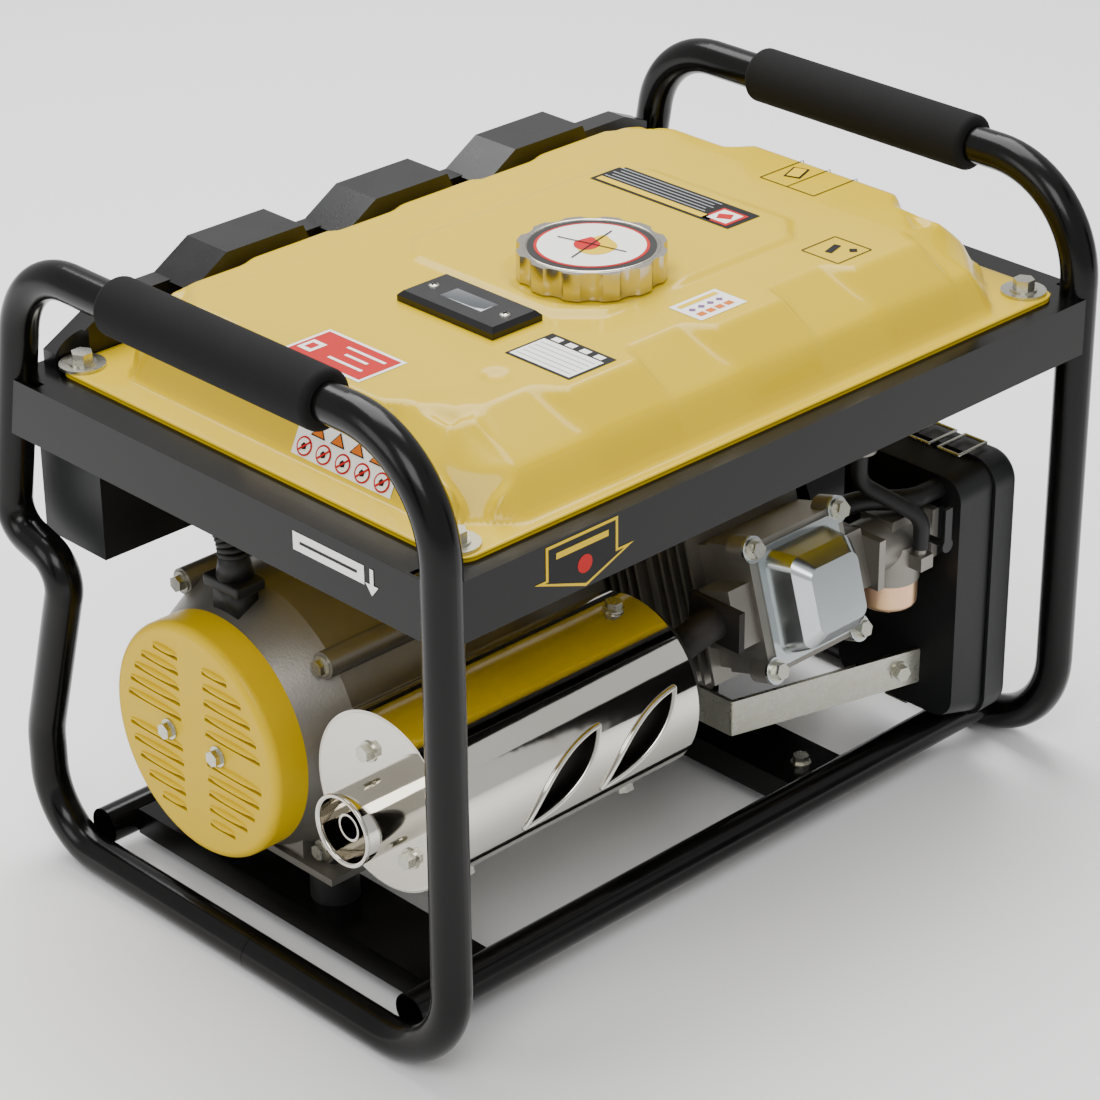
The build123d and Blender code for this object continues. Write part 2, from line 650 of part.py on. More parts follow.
for index in range(spoke_windows):
    angle = 90.0 * index + 45.0
    window = Pos(cover_back_x + 16, 0, 50) * Box(40, 44, 32)
    rear -= Pos(0, crank_y, crank_z) * Rot(angle, 0, 0) * window
for x, y in mount_spots[:2]:
    rear -= rod_z(stud_r, mount_high - 1, mount_high + 11, x, y)
for side in (-1, 1):
    rear -= rod_x(bolt_shank_r, alt_face_x + 8, alt_face_x + 40, crank_y + side * cover_screw, crank_z)
save(max(rear.solids(), key=lambda piece: piece.volume), "alternator_rear_housing")

core = ring_x(stator_r, rotor_r + 1.0, core_x0, core_x1, crank_y, crank_z)
save(core, "stator_core")
winding = ring_x(stator_r - 4, rotor_r + 6, core_x0 - 18, core_x0, crank_y, crank_z)
winding_far = ring_x(stator_r - 4, rotor_r + 6, core_x1, core_x1 + 16, crank_y, crank_z)
save(Compound(children=[winding, winding_far]), "stator_winding")

rotor = rod_x(rotor_r, rotor_x0, rotor_x1, crank_y, crank_z)
rotor -= rod_x(journal_r, rotor_x0 - 1, rotor_x1 + 1, crank_y, crank_z)
save(rotor, "rotor")

front = ring_x(alt_body_r, stator_r, core_x0, core_x1 + 6, crank_y, crank_z)
front += ring_x(alt_body_r, 30.0, front_x0 + 62, case_x0, crank_y, crank_z)
shell_outer = rod_x(alt_body_r, core_x1 + 6, front_x0 + 62, crank_y, crank_z)
shell_inner = rod_x(alt_body_r - 6, core_x1 + 5, front_x0 + 63, crank_y, crank_z)
front += shell_outer - shell_inner
for angle in lug_angles:
    y = crank_y + lug_r * cos(radians(angle))
    z = crank_z + lug_r * sin(radians(angle))
    lug = rod_x(9.0, core_x0, core_x0 + 70, y, z)
    front += lug
front -= rod_x(stator_r, core_x0 - 1, core_x1, crank_y, crank_z)
save(front, "alternator_front_housing")

# ---------------------------------------------------------------- exhaust
shell_wall = 1.5
cap_t = 12.0
shell = ring_x(muffler_r, muffler_r - shell_wall, muffler_x0 + 3, muffler_x1, muffler_y, muffler_z)
leaf_long = 78.0
leaf_wide = 24.0
leaf_turn = 36.0
leaf_spots = ((-96.0, 0.0), (-162.0, 0.0))


def leaf_outline(grow):
    """A pointed leaf in the X-Z plane, its long axis along local X."""
    half = leaf_long / 2 + grow
    rise = leaf_wide / 2 + grow
    arc_a = ThreePointArc((-half, 0), (0, rise), (half, 0))
    arc_b = ThreePointArc((half, 0), (0, -rise), (-half, 0))
    return make_face(Curve() + [arc_a, arc_b])


for leaf_x, leaf_dz in leaf_spots:
    plane = Plane(origin=(leaf_x, muffler_y - muffler_r - 5, muffler_z + leaf_dz),
                  x_dir=(cos(radians(leaf_turn)), 0, sin(radians(leaf_turn))), z_dir=(0, -1, 0))
    shell -= extrude(plane * leaf_outline(0.0), -muffler_r)

core_r = muffler_r - 9.0
header_r = 11.0
inlet_y = muffler_y - 16.0
inlet_z = muffler_z + 17.0
can_x1 = muffler_x1 + 10.0
can_wall = 2.0
can = rod_x(core_r, muffler_x0 + 14, can_x1, muffler_y, muffler_z)
can -= rod_x(core_r - can_wall, muffler_x0 + 14 + can_wall, can_x1 - can_wall, muffler_y, muffler_z)
outlet_r = 9.0
can -= rod_x(outlet_r, muffler_x0 + 13, muffler_x0 + 17, muffler_y, tip_z)
can -= rod_x(header_r, can_x1 - 12, can_x1 + 2, inlet_y, inlet_z)


def shell_bolt_frame(x, angle):
    """A frame on the muffler's outside, +Z pointing away from it."""
    y = muffler_y + muffler_r * cos(radians(angle))
    z = muffler_z + muffler_r * sin(radians(angle))
    return Pos(x, y, z) * Rot(angle - 90.0, 0, 0)


shell_bolts = ((-66.0, 93.0), (-76.0, -112.0), (-214.0, -112.0))
for bolt_at, angle in shell_bolts:
    spacer = shell_bolt_frame(bolt_at, angle) * Pos(0, 0, -6) * Cylinder(6.0, 12.0)
    spacer &= rod_x(muffler_r - shell_wall, muffler_x0, muffler_x1, muffler_y, muffler_z)
    can += spacer
    can -= shell_bolt_frame(bolt_at, angle) * Cylinder(bolt_shank_r, 2 * bolt_shank)
    shell -= shell_bolt_frame(bolt_at, angle) * Cylinder(bolt_shank_r, 2 * bolt_shank)
save(shell, "muffler_shell")
save(can, "muffler_core")

cap_a = ring_x(muffler_r, outlet_r, muffler_x0, muffler_x0 + 3, muffler_y, muffler_z)
cap_a += ring_x(muffler_r - shell_wall, core_r, muffler_x0 + 3, muffler_x0 + cap_t, muffler_y, muffler_z)
cap_a -= rod_x(outlet_r, muffler_x0 - 5, muffler_x0 + 13, muffler_y, tip_z)
cap_b = ring_x(muffler_r - shell_wall, core_r, muffler_x1 - cap_t, muffler_x1, muffler_y, muffler_z)
cap_screws = ((-108.0, 187.0), (-143.0, 127.0))
for y, z in cap_screws:
    cap_a -= rod_x(bolt_shank_r, muffler_x0 - 1, muffler_x0 + 4, y, z)
save(Compound(children=[cap_a, cap_b]), "muffler_caps")

tip = ring_x(tip_r, tip_r - 1.6, tip_x0, muffler_x0, muffler_y, tip_z)
tip += ring_x(tip_r, outlet_r, muffler_x0 - 4, muffler_x0, muffler_y, tip_z)
tip += ring_x(outlet_r, outlet_r - 1.5, tip_x0 + 6, muffler_x0, muffler_y, tip_z)
save(tip, "exhaust_tip")

# header pipe from the exhaust port round to the silencer can
port = in_cylinder(Pos(-port_face, 0, port_from) * Sphere(0.1)).center()
header_path = [(port.X, port.Y, port.Z), (port.X - 14, port.Y, port.Z),
               (port.X - 30, inlet_y, inlet_z), (can_x1 - 12, inlet_y, inlet_z)]
header = tube_along(header_path, [14.0, 14.0], header_r)
header += block(port.X - 5, port.X, port.Y - 22, port.Y + 22, port.Z - 14, port.Z + 14)
save(header, "exhaust_header")

# ---------------------------------------------------------------- intake
intake = in_cylinder(Pos(port_face, 0, port_from) * Sphere(0.1)).center()
intake_y = intake.Y
intake_z = intake.Z
flange_half = 18.0
throat_r = 11.0
cast_low = intake_z - 28.0
bowl_low = intake_z - 48.0
carb = block(carb_x0, carb_x0 + 6, intake_y - 24, intake_y + 24, intake_z - flange_half, intake_z + flange_half)
carb += rod_x(19.0, carb_x0 + 6, carb_x1 - 6, intake_y, intake_z)
carb += block(carb_x1 - 6, carb_x1, intake_y - flange_half, intake_y + flange_half,
              intake_z - flange_half, intake_z + flange_half)
carb += rod_z(21.0, cast_low, intake_z, bowl_x, intake_y)
carb += block(bowl_x - 14, bowl_x + 12, intake_y - 14, intake_y + 14, intake_z, intake_z + 20)
nipple_y = intake_y - 25.5
nipple_x = bowl_x + 2.0
nipple_r = 4.0
fuel_hose_r = 5.5
carb += block(nipple_x - 6, nipple_x + 6, nipple_y - 6, intake_y - 14, intake_z - 14, intake_z - 4)
carb += rod_z(nipple_r, intake_z - 4, intake_z + 10, nipple_x, nipple_y)
choke_x = 183.0
choke_shaft_r = 2.5
carb -= rod_x(throat_r, carb_x0 - 1, carb_x1 + 1, intake_y, intake_z)
carb -= rod_y(choke_shaft_r + running, intake_y - 40, intake_y + 14, choke_x, intake_z)
save(carb, "carburetor")
bowl = rod_z(20.0, bowl_low, cast_low, bowl_x, intake_y)
bowl = fillet(bowl.edges().group_by(Axis.Z)[0], 4.0)
bowl += Pos(bowl_x, intake_y, bowl_low) * Rot(180, 0, 0) * hex_bolt(6.0, 2.0)
save(bowl, "fuel_bowl")

# choke: a round plate in the throat on a cross shaft, with its lever on the near side
lever_face = nipple_y - fuel_hose_r - 2.0
choke = rod_y(choke_shaft_r, lever_face, intake_y + 13, choke_x, intake_z)
choke += rod_z(throat_r - 0.5, intake_z - 0.6, intake_z + 0.6, choke_x, intake_y)
choke += rod_y(5.0, lever_face - 3, lever_face, choke_x, intake_z)
choke += block(choke_x - 3.5, choke_x + 3.5, lever_face - 3, lever_face, intake_z, intake_z + 27)
save(choke, "choke_lever")

air_wall = 2.5
base_x = [(box_x0, 8.0), (box_split, 3.0)]
base_levels = []
for x, inset in base_x:
    base_levels.append(Plane.YZ.offset(x) * Pos((box_y0 + box_y1) / 2, (box_z0 + box_z1) / 2)
                       * RectangleRounded(box_y1 - box_y0 - 2 * inset, box_z1 - box_z0 - 2 * inset, 16))
base_levels_in = []
for x, inset in ((box_x0 + air_wall, 10.5), (box_split + 1, 5.5)):
    base_levels_in.append(Plane.YZ.offset(x) * Pos((box_y0 + box_y1) / 2, (box_z0 + box_z1) / 2)
                          * RectangleRounded(box_y1 - box_y0 - 2 * inset, box_z1 - box_z0 - 2 * inset, 14))
air_base = loft(base_levels, ruled=True) - loft(base_levels_in, ruled=True)
air_base += block(carb_x1, box_x0 + 1, intake_y - flange_half, intake_y + flange_half,
                  intake_z - flange_half, intake_z + flange_half)
air_base -= rod_x(throat_r + 1, carb_x1 - 1, box_x0 + 10, intake_y, intake_z)
save(air_base, "air_filter_base")

air_cover = Plane.YZ.offset(box_split) * Pos((box_y0 + box_y1) / 2, (box_z0 + box_z1) / 2) \
    * RectangleRounded(box_y1 - box_y0, box_z1 - box_z0, 20)
air_cover = extrude(air_cover, box_x1 - box_split)
air_cover = fillet(air_cover.edges().group_by(Axis.X)[-1], 6.0)
air_room = Plane.YZ.offset(box_split - 1) * Pos((box_y0 + box_y1) / 2, (box_z0 + box_z1) / 2) \
    * RectangleRounded(box_y1 - box_y0 - 2 * air_wall, box_z1 - box_z0 - 2 * air_wall, 17.5)
air_cover -= extrude(air_room, box_x1 - box_split - air_wall + 1)
save(air_cover, "air_filter_cover")
element = block(box_x0 + 8, box_x1 - 6, box_y0 + 24, box_y1 - 24, box_z0 + 24, box_z1 - 24)
save(element, "air_filter_element")

wire_r = 1.1
clip_mid_x = box_split


def wire_clip(y, z, up):
    """A wire bail over the joint of the air filter box; up is +1 on the top, -1 underneath."""
    half = 9.0
    shape = rod_y(wire_r, y - half, y + half, clip_mid_x + 16, z + up * 3.0)
    for side in (-1, 1):
        shape += rod_x(wire_r, clip_mid_x - 12, clip_mid_x + 16, y + side * half, z + up * 3.0)
        shape += Pos(clip_mid_x + 16, y + side * half, z + up * 3.0) * Sphere(wire_r)
        shape += Pos(clip_mid_x - 12, y + side * half, z + up * 3.0) * Sphere(wire_r)
    shape += rod_y(wire_r, y - half, y + half, clip_mid_x - 12, z + up * 3.0)
    return shape


top_clips = (-158.0, -132.0, -106.0)
low_clips = (-122.0, -96.0)
save(Compound(children=[wire_clip(y, box_z1, 1) for y in top_clips]), "air_filter_clips_top")
save(Compound(children=[wire_clip(y, box_z0, -1) for y in low_clips]), "air_filter_clips_low")

# flat steel strut from the crankcase to the air filter box
strut_t = 3.0
strut_low = 69.0
strut_high = 95.0
strut_far = (56.0, -112.0)
strut_near = (box_x0, -152.0)
strut_turn = degrees(atan2(strut_near[1] - strut_far[1], strut_near[0] - strut_far[0]))
strut_run = sqrt((strut_near[0] - strut_far[0]) ** 2 + (strut_near[1] - strut_far[1]) ** 2)
strut_mid = ((strut_near[0] + strut_far[0]) / 2, (strut_near[1] + strut_far[1]) / 2)
strut_z = (strut_low + strut_high) / 2
strut_seat = Pos(strut_mid[0], strut_mid[1], strut_z) * Rot(0, 0, strut_turn)
strut = strut_seat * Box(strut_run, strut_t, strut_high - strut_low)
strut += block(strut_far[0] - 1, strut_far[0] + 2, strut_far[1], crank_y - case_half_x, strut_low, strut_high)
strut -= block(box_x0, box_x0 + 20, box_y0, box_y1, 0, height)
strut_bolt_x = 184.0
strut_slope = (strut_near[1] - strut_far[1]) / (strut_near[0] - strut_far[0])
strut_bolt_y = strut_far[1] + (strut_bolt_x - strut_far[0]) * strut_slope
strut_frame = Pos(strut_bolt_x, strut_bolt_y, strut_z) * Rot(0, 0, strut_turn) * Rot(90, 0, 0)
strut -= strut_frame * Cylinder(bolt_shank_r, 4 * strut_t)
save(strut, "air_filter_strut")

# ---------------------------------------------------------------- hoses and leads, held along their whole route
fuel_path = [(nipple_x, nipple_y, intake_z + 0.5), (nipple_x, nipple_y, intake_z + 23),
             (valve_x, valve_y, valve_low - 24), (valve_x, valve_y, valve_low - 2)]
fuel_line = FilletPolyline(*fuel_path, radius=[16.0, 16.0])
fuel_hose = sweep(Plane(origin=fuel_line @ 0, z_dir=fuel_line % 0) * (Circle(fuel_hose_r) - Circle(nipple_r)),
                  path=fuel_line)
rocker = in_cylinder(Pos(44.0, 32.0, 196.0) * Sphere(0.1)).center()
box_port_y = -161.0
box_port_z = box_z1 - 18.0
breather_path = [(rocker.X, rocker.Y, rocker.Z), (rocker.X + 37, rocker.Y, rocker.Z),
                 (rocker.X + 66, box_port_y, box_port_z), (box_x0, box_port_y, box_port_z)]
breather = tube_along(breather_path, [40.0, 32.0], 7.0)
save(Compound(children=[fuel_hose, breather]), "rubber_hoses")

# plug cap and high-tension lead to the coil
plug_tip = plug_seat + 22.0
cap_end = plug_tip + 10.0
cap_from = plug_seat + 10.2
plug_cap = Pos(0, (cap_from + cap_end) / 2, plug_z) * Rot(90, 0, 0) * Cylinder(9.0, cap_end - cap_from)
plug_cap -= Pos(0, plug_tip - 10, plug_z) * Rot(90, 0, 0) * Cylinder(5.0, 20)
cap_out = in_cylinder(Pos(0, cap_end, plug_z) * Sphere(0.1)).center()
cap_way = in_cylinder(Pos(0, cap_end + 16.0, plug_z) * Sphere(0.1)).center()
lead_x = (case_x1 + shroud_x0) / 2 - 2.0
lead_path = [(cap_out.X, cap_out.Y, cap_out.Z), (cap_way.X, cap_way.Y, cap_way.Z),
             (lead_x - 3, lead_y - 12, cap_way.Z - 4), (lead_x, lead_y, cap_way.Z - 60),
             (lead_x, lead_y, crank_z), (coil_x0, lead_y, crank_z)]
lead = tube_along(lead_path, [7.2, 22.0, 30.0, 7.2], lead_r)
save(in_cylinder(plug_cap) + lead, "plug_lead")

# wiring conduit from the grommet on the alternator up to the control panel
grommet_x = -234.0
conduit_r = 11.0
conduit_z = 272.0
grommet = block(grommet_x - 12, grommet_x + 10, crank_y - 15, crank_y + 15, crank_z + 70, crank_z + 96)
grommet -= rear_outline + rod_x(alt_body_r, cover_back_x + 32, core_x0, crank_y, crank_z)
conduit_path = [(grommet_x, crank_y, crank_z + 92), (grommet_x, crank_y, conduit_z),
                (grommet_x + 6, panel_y0, conduit_z + 12)]
conduit = tube_along(conduit_path, [20.0], conduit_r)
conduit -= block(grommet_x - 20, grommet_x + 30, panel_y0, panel_y0 + 20, panel_z0, height)
save(grommet + conduit, "wiring_conduit")

# ---------------------------------------------------------------- flanged hex bolts
flange_bolt = hex_bolt(bolt_size, bolt_shank)
bolts = []
for side in (-1, 1):
    for across in (-1, 1):
        seat = Pos(side * cover_bolt_x, across * cover_bolt_y, dome_from)
        bolts.append(in_cylinder(seat * flange_bolt))
        bolts.append(Pos(member_x[(side + 1) // 2], across * member_bolt_y, mount_low) * flange_bolt)
for angle in lug_angles:
    y = crank_y + lug_r * cos(radians(angle))
    z = crank_z + lug_r * sin(radians(angle))
    bolts.append(Pos(lug_x0, y, z) * Rot(0, -90, 0) * flange_bolt)
for side in (-1, 1):
    bolts.append(Pos(alt_face_x, crank_y + side * cover_screw, crank_z) * Rot(0, -90, 0) * flange_bolt)
bolts.append(strut_frame * Pos(0, 0, strut_t / 2) * flange_bolt)
for bolt_at, angle in shell_bolts:
    bolts.append(shell_bolt_frame(bolt_at, angle) * flange_bolt)
for y, z in cap_screws:
    bolts.append(Pos(muffler_x0, y, z) * Rot(0, -90, 0) * flange_bolt)
save(Compound(children=bolts), "hex_flange_bolts")

# ---------------------------------------------------------------- control panel
face_y = panel_y1 - panel_wall
switch_x = 190.0
breaker_x = 120.0
earth_x = 60.0
control_z = 268.0
housing = block(-panel_half_x, panel_half_x, panel_y0, panel_y1, panel_z0, belt_low - 0.5)
housing -= block(-panel_half_x + panel_wall, panel_half_x - panel_wall, panel_y0 + panel_wall,
                 face_y, panel_z0 + panel_wall, belt_low - 0.5 - panel_wall)
button_r = 6.0
rocker_half_x = 9.0
rocker_half_z = 13.0
housing -= block(switch_x - rocker_half_x - 0.6, switch_x + rocker_half_x + 0.6, face_y - 1, panel_y1 + 1,
                 control_z - rocker_half_z - 2.5, control_z + rocker_half_z + 2.5)
housing -= rod_y(button_r + running, face_y - 1, panel_y1 + 1, breaker_x, control_z)
save(housing, "panel_housing")

# trim above the far edge of the tank: a low wall with three raised blocks
trim_y0 = 171.0
trim_y1 = 188.0
trim_low = 383.0
trim_top = 400.0
trim_half = 262.0
wall_outline = Polyline((-trim_half, belt_top), (-trim_half, belt_top + 9), (-trim_half + 47, trim_low),
                        (trim_half - 22, trim_low), (trim_half, trim_low - 9), (trim_half, belt_top), close=True)
wall_face = Plane.XZ.offset(-trim_y1) * make_face(wall_outline)
trim = extrude(wall_face, trim_y1 - trim_y0)
trim_block_y0 = 148.0
trim_blocks = 3
trim_block_long = 64.0
trim_block_pitch = 127.0
for index in range(trim_blocks):
    x0 = -143.0 + index * trim_block_pitch
    x1 = x0 + trim_block_long
    outline = Polyline((x0 - 30, trim_low - 1), (x0, trim_top), (x1, trim_top), (x1 + 8, trim_low - 1), close=True)
    trim += extrude(Plane.XZ.offset(-trim_y1) * make_face(outline), trim_y1 - trim_block_y0)
trim -= block(-trim_half + 30, trim_half - 30, trim_y0 + 3, trim_y1 - 3, belt_top - 1, trim_low - 22)
for x, y in tank_bolt_spots[1::2]:
    trim -= rod_z(washer_r + 2, belt_top - 1, belt_top + 20, x, y)
save(trim, "panel_trim")

# two outlets with hinged flaps, the breaker button, the engine switch and the earth terminal
outlet_x = (-150.0, -50.0)
outlet_r = 24.0
outlet_depth = 7.0
flap_y0 = panel_y1 + outlet_depth + 0.4
flap_t = 3.5
hinge_z = control_z + 28.0
hinge_r = 1.5
outlets = []
for x in outlet_x:
    outlet = rod_y(outlet_r, panel_y1, panel_y1 + outlet_depth, x, control_z)
    outlet -= rod_y(outlet_r - 5, panel_y1 + 2, panel_y1 + outlet_depth + 1, x, control_z)
    for side in (-1, 1):
        lug_x = x + side * 17.0
        outlet += block(lug_x - 2.5, lug_x + 2.5, panel_y1, flap_y0 + flap_t, control_z + 14, hinge_z + 3)
        outlet -= rod_y(2.5, panel_y1 + 1, panel_y1 + 4, x + side * 9.5, control_z)
        outlet -= rod_x(hinge_r + running, lug_x - 3, lug_x + 3, flap_y0 + flap_t / 2, hinge_z)
    outlet -= block(x - 25, x + 25, flap_y0 - 0.2, flap_y0 + 10, control_z, hinge_z - 3.5)
    outlets.append(outlet)
save(Compound(children=outlets), "panel_sockets")
for x, name in zip(outlet_x, ("socket_flap_left", "socket_flap_right")):
    flap = rod_y(outlet_r, flap_y0, flap_y0 + flap_t, x, control_z)
    flap += block(x - 14, x + 14, flap_y0, flap_y0 + flap_t, control_z, hinge_z)
    flap += rod_x(hinge_r, x - 19, x + 19, flap_y0 + flap_t / 2, hinge_z)
    save(flap, name)

button = rod_y(button_r, face_y - 6, panel_y1 + 7, breaker_x, control_z)
save(button, "breaker_button")
switch_tilt = 10.0
switch = Box(2 * rocker_half_x, 10, 2 * rocker_half_z)
switch += Pos(0, -1, 0) * Rot(0, 90, 0) * Cylinder(2.0, 2 * rocker_half_x)
save(Pos(switch_x, panel_y1, control_z) * Rot(switch_tilt, 0, 0) * switch, "engine_switch")
earth = rod_y(4.0, panel_y1, panel_y1 + 14, earth_x, control_z)
earth += rod_y(9.0, panel_y1 + 3, panel_y1 + 10, earth_x, control_z)
save(earth, "earth_terminal")

print(len(written), "nodes")
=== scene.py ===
import json
from math import cos, hypot, pi, radians, sin, sqrt
import bmesh
import bpy
from mathutils import Matrix, Vector


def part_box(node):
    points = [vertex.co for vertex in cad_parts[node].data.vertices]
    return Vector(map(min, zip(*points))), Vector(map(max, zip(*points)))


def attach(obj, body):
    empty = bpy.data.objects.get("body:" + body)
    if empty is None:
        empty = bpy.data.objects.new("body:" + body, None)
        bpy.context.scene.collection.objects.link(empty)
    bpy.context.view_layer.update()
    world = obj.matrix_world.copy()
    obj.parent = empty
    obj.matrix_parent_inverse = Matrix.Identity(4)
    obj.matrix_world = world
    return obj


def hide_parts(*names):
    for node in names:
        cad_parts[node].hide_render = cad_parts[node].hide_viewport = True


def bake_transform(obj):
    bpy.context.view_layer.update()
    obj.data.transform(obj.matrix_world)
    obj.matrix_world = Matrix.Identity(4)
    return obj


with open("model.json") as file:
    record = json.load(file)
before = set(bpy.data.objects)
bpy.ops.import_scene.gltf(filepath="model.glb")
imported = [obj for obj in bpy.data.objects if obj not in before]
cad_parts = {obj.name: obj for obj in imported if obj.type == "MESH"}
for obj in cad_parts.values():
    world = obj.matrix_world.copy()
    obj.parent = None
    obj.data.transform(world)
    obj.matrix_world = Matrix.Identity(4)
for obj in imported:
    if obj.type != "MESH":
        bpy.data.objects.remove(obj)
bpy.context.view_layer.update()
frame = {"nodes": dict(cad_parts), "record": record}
nodes = frame["nodes"]
MM = 0.001


# ---------------------------------------------------------------- places, read from the frame
def lower(node):
    """The lowest corner of a CAD node."""
    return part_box(node)[0]


def upper(node):
    """The highest corner of a CAD node."""
    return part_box(node)[1]


def middle(node):
    """The middle of a CAD node's box."""
    return (lower(node) + upper(node)) / 2


# ---------------------------------------------------------------- materials
grain_depth = 0.3 * MM


def linear(code):
    """An sRGB hex colour as linear RGBA."""
    parts = [int(code[i:i + 2], 16) / 255 for i in (1, 3, 5)]
    return [c / 12.92 if c <= 0.04045 else ((c + 0.055) / 1.055) ** 2.4 for c in parts] + [1.0]


def add(tree, kind, settings=None, links=None):
    """Add a shader node with its settings and links."""
    made = tree.nodes.new(kind)
    for name, value in (settings or {}).items():
        if isinstance(name, str) and hasattr(made, name):
            setattr(made, name, value)
        else:
            made.inputs[name].default_value = value
    for socket, source in (links or {}).items():
        tree.links.new(source, made.inputs[socket])
    return made


def finish(name, colour, rough, metal=0.0, second=None, patch_mm=30.0, grain_mm=1.0, bump=0.1,
           rough_spread=0.06, **sockets):
    """A finish with a slow colour drift, a fine grain in its bump, and an uneven roughness."""
    material = bpy.data.materials.new(name)
    material.use_nodes = True
    tree = material.node_tree
    shader = tree.nodes["Principled BSDF"]
    shader.inputs["Metallic"].default_value = metal
    for socket, value in sockets.items():
        shader.inputs[socket.replace("_", " ")].default_value = value
    place = add(tree, "ShaderNodeTexCoord").outputs["Object"]
    drift = add(tree, "ShaderNodeTexNoise", {"Scale": 1 / (patch_mm * MM), "Detail": 4.0}, {"Vector": place})
    colours = add(tree, "ShaderNodeMix", {"data_type": "RGBA"})
    colours.inputs[6].default_value = linear(colour)
    colours.inputs[7].default_value = linear(second or colour)
    tree.links.new(drift.outputs["Fac"], colours.inputs[0])
    tree.links.new(colours.outputs[2], shader.inputs["Base Color"])
    limits = {"To Min": max(0.0, rough - rough_spread), "To Max": rough + rough_spread}
    spread = add(tree, "ShaderNodeMapRange", limits, {"Value": drift.outputs["Fac"]})
    tree.links.new(spread.outputs[0], shader.inputs["Roughness"])
    grain = add(tree, "ShaderNodeTexNoise", {"Scale": 1 / (grain_mm * MM), "Detail": 3.0}, {"Vector": place})
    relief = add(tree, "ShaderNodeBump", {"Strength": bump, "Distance": grain_depth},
                 {"Height": grain.outputs["Fac"]})
    tree.links.new(relief.outputs[0], shader.inputs["Normal"])
    return material


finishes = {
    # gloss black powder coat on steel tube: soft highlights over a faint orange peel of about 2 mm
    "frame_paint": finish("powder_coat_black", "#060606", 0.2, second="#0a0a09", grain_mm=2.0, bump=0.08,
                          Specular_IOR_Level=0.22),
    # yellow baked enamel on pressed steel: clear gloss and a broad, very faint ripple
    "tank_paint": finish("enamel_yellow", "#ccac00", 0.32, second="#d0b000", grain_mm=6.0, bump=0.04,
                         Specular_IOR_Level=0.2, Coat_Weight=0.3, Coat_Roughness=0.04),
    # closed-cell foam sleeve: no gloss, fine pores
    "foam": finish("nitrile_foam", "#0b0b0b", 0.9, second="#121212", grain_mm=1.2, bump=0.5,
                   Specular_IOR_Level=0.25),
    # moulded rubber: dull, slightly bloomed
    "rubber": finish("moulded_rubber", "#0a0a0a", 0.5, second="#121212", grain_mm=2.0, bump=0.2,
                     Specular_IOR_Level=0.35),
    # zinc-plated fasteners: bright grey with a faint yellow passivate
    "zinc": finish("zinc_plate", "#c4c6c2", 0.28, 1.0, second="#b5b09a", patch_mm=6.0, grain_mm=1.0,
                   bump=0.1),
    # polished aluminium die casting of the cap's side
    "cap_steel": finish("polished_aluminium", "#cfcbc2", 0.2, 1.0, second="#b7b0a2", patch_mm=10.0,
                        bump=0.12),
    # glossy black ABS
    "black_plastic": finish("abs_black_gloss", "#0b0b0c", 0.28, second="#121213", grain_mm=1.2, bump=0.12,
                            Specular_IOR_Level=0.4),
    # black polypropylene with a moulded grain
    "matt_plastic": finish("polypropylene_black", "#0b0c0d", 0.42, second="#121314", grain_mm=1.5,
                           bump=0.25, Specular_IOR_Level=0.35),
    # yellow ABS fan cover: even colour, soft gloss
    "yellow_plastic": finish("abs_yellow", "#d0ae00", 0.36, second="#cca900", grain_mm=3.0, bump=0.05,
                             Specular_IOR_Level=0.2),
    # sand-cast aluminium: grey, dull, with a coarse skin
    "cast_alloy": finish("cast_aluminium", "#918e88", 0.42, 0.8, second="#76726a", patch_mm=40.0,
                         grain_mm=1.6, bump=0.35),
    # machined steel
    "machined_steel": finish("machined_steel", "#a9a8a5", 0.35, 1.0, second="#8f8d88", bump=0.1),
    # zinc-plated pressed steel cover with a blue passivate
    "pressed_cover": finish("blue_zinc_pressing", "#ccd1d2", 0.24, 1.0, second="#b3babb", patch_mm=35.0,
                            grain_mm=4.0, bump=0.05),
    # bright chrome plate on a rolled sheet: mirror-like, with long soft waves in the sheet
    "muffler_chrome": finish("chrome_plate", "#d9d6cf", 0.06, 1.0, second="#cbc6ba", patch_mm=60.0,
                             grain_mm=45.0, bump=0.35, rough_spread=0.02),
    # steel blackened by heat
    "exhaust_steel": finish("heat_black_steel", "#0e0d0c", 0.6, 0.4, second="#2c2621", bump=0.3),
    # yellow-passivated float bowl: gold drifting to pink
    "bowl_brass": finish("yellow_passivate", "#e9c98c", 0.3, 0.9, second="#e0a99a", patch_mm=14.0, bump=0.1),
    # lacquered copper winding
    "copper": finish("lacquered_copper", "#9a5a33", 0.35, 0.9, second="#7c4526", grain_mm=1.5, bump=0.4),
    # glazed white plastic
    "white_plastic": finish("white_plastic", "#ecebe6", 0.3, second="#e2e0d8", bump=0.05),
    # moulded red plastic
    "red_plastic": finish("red_plastic", "#b51d1a", 0.35, second="#a51815", bump=0.05),
    # open filter foam
    "filter_foam": finish("filter_foam", "#5b584a", 0.95, second="#474539", grain_mm=2.5, bump=0.9),
}
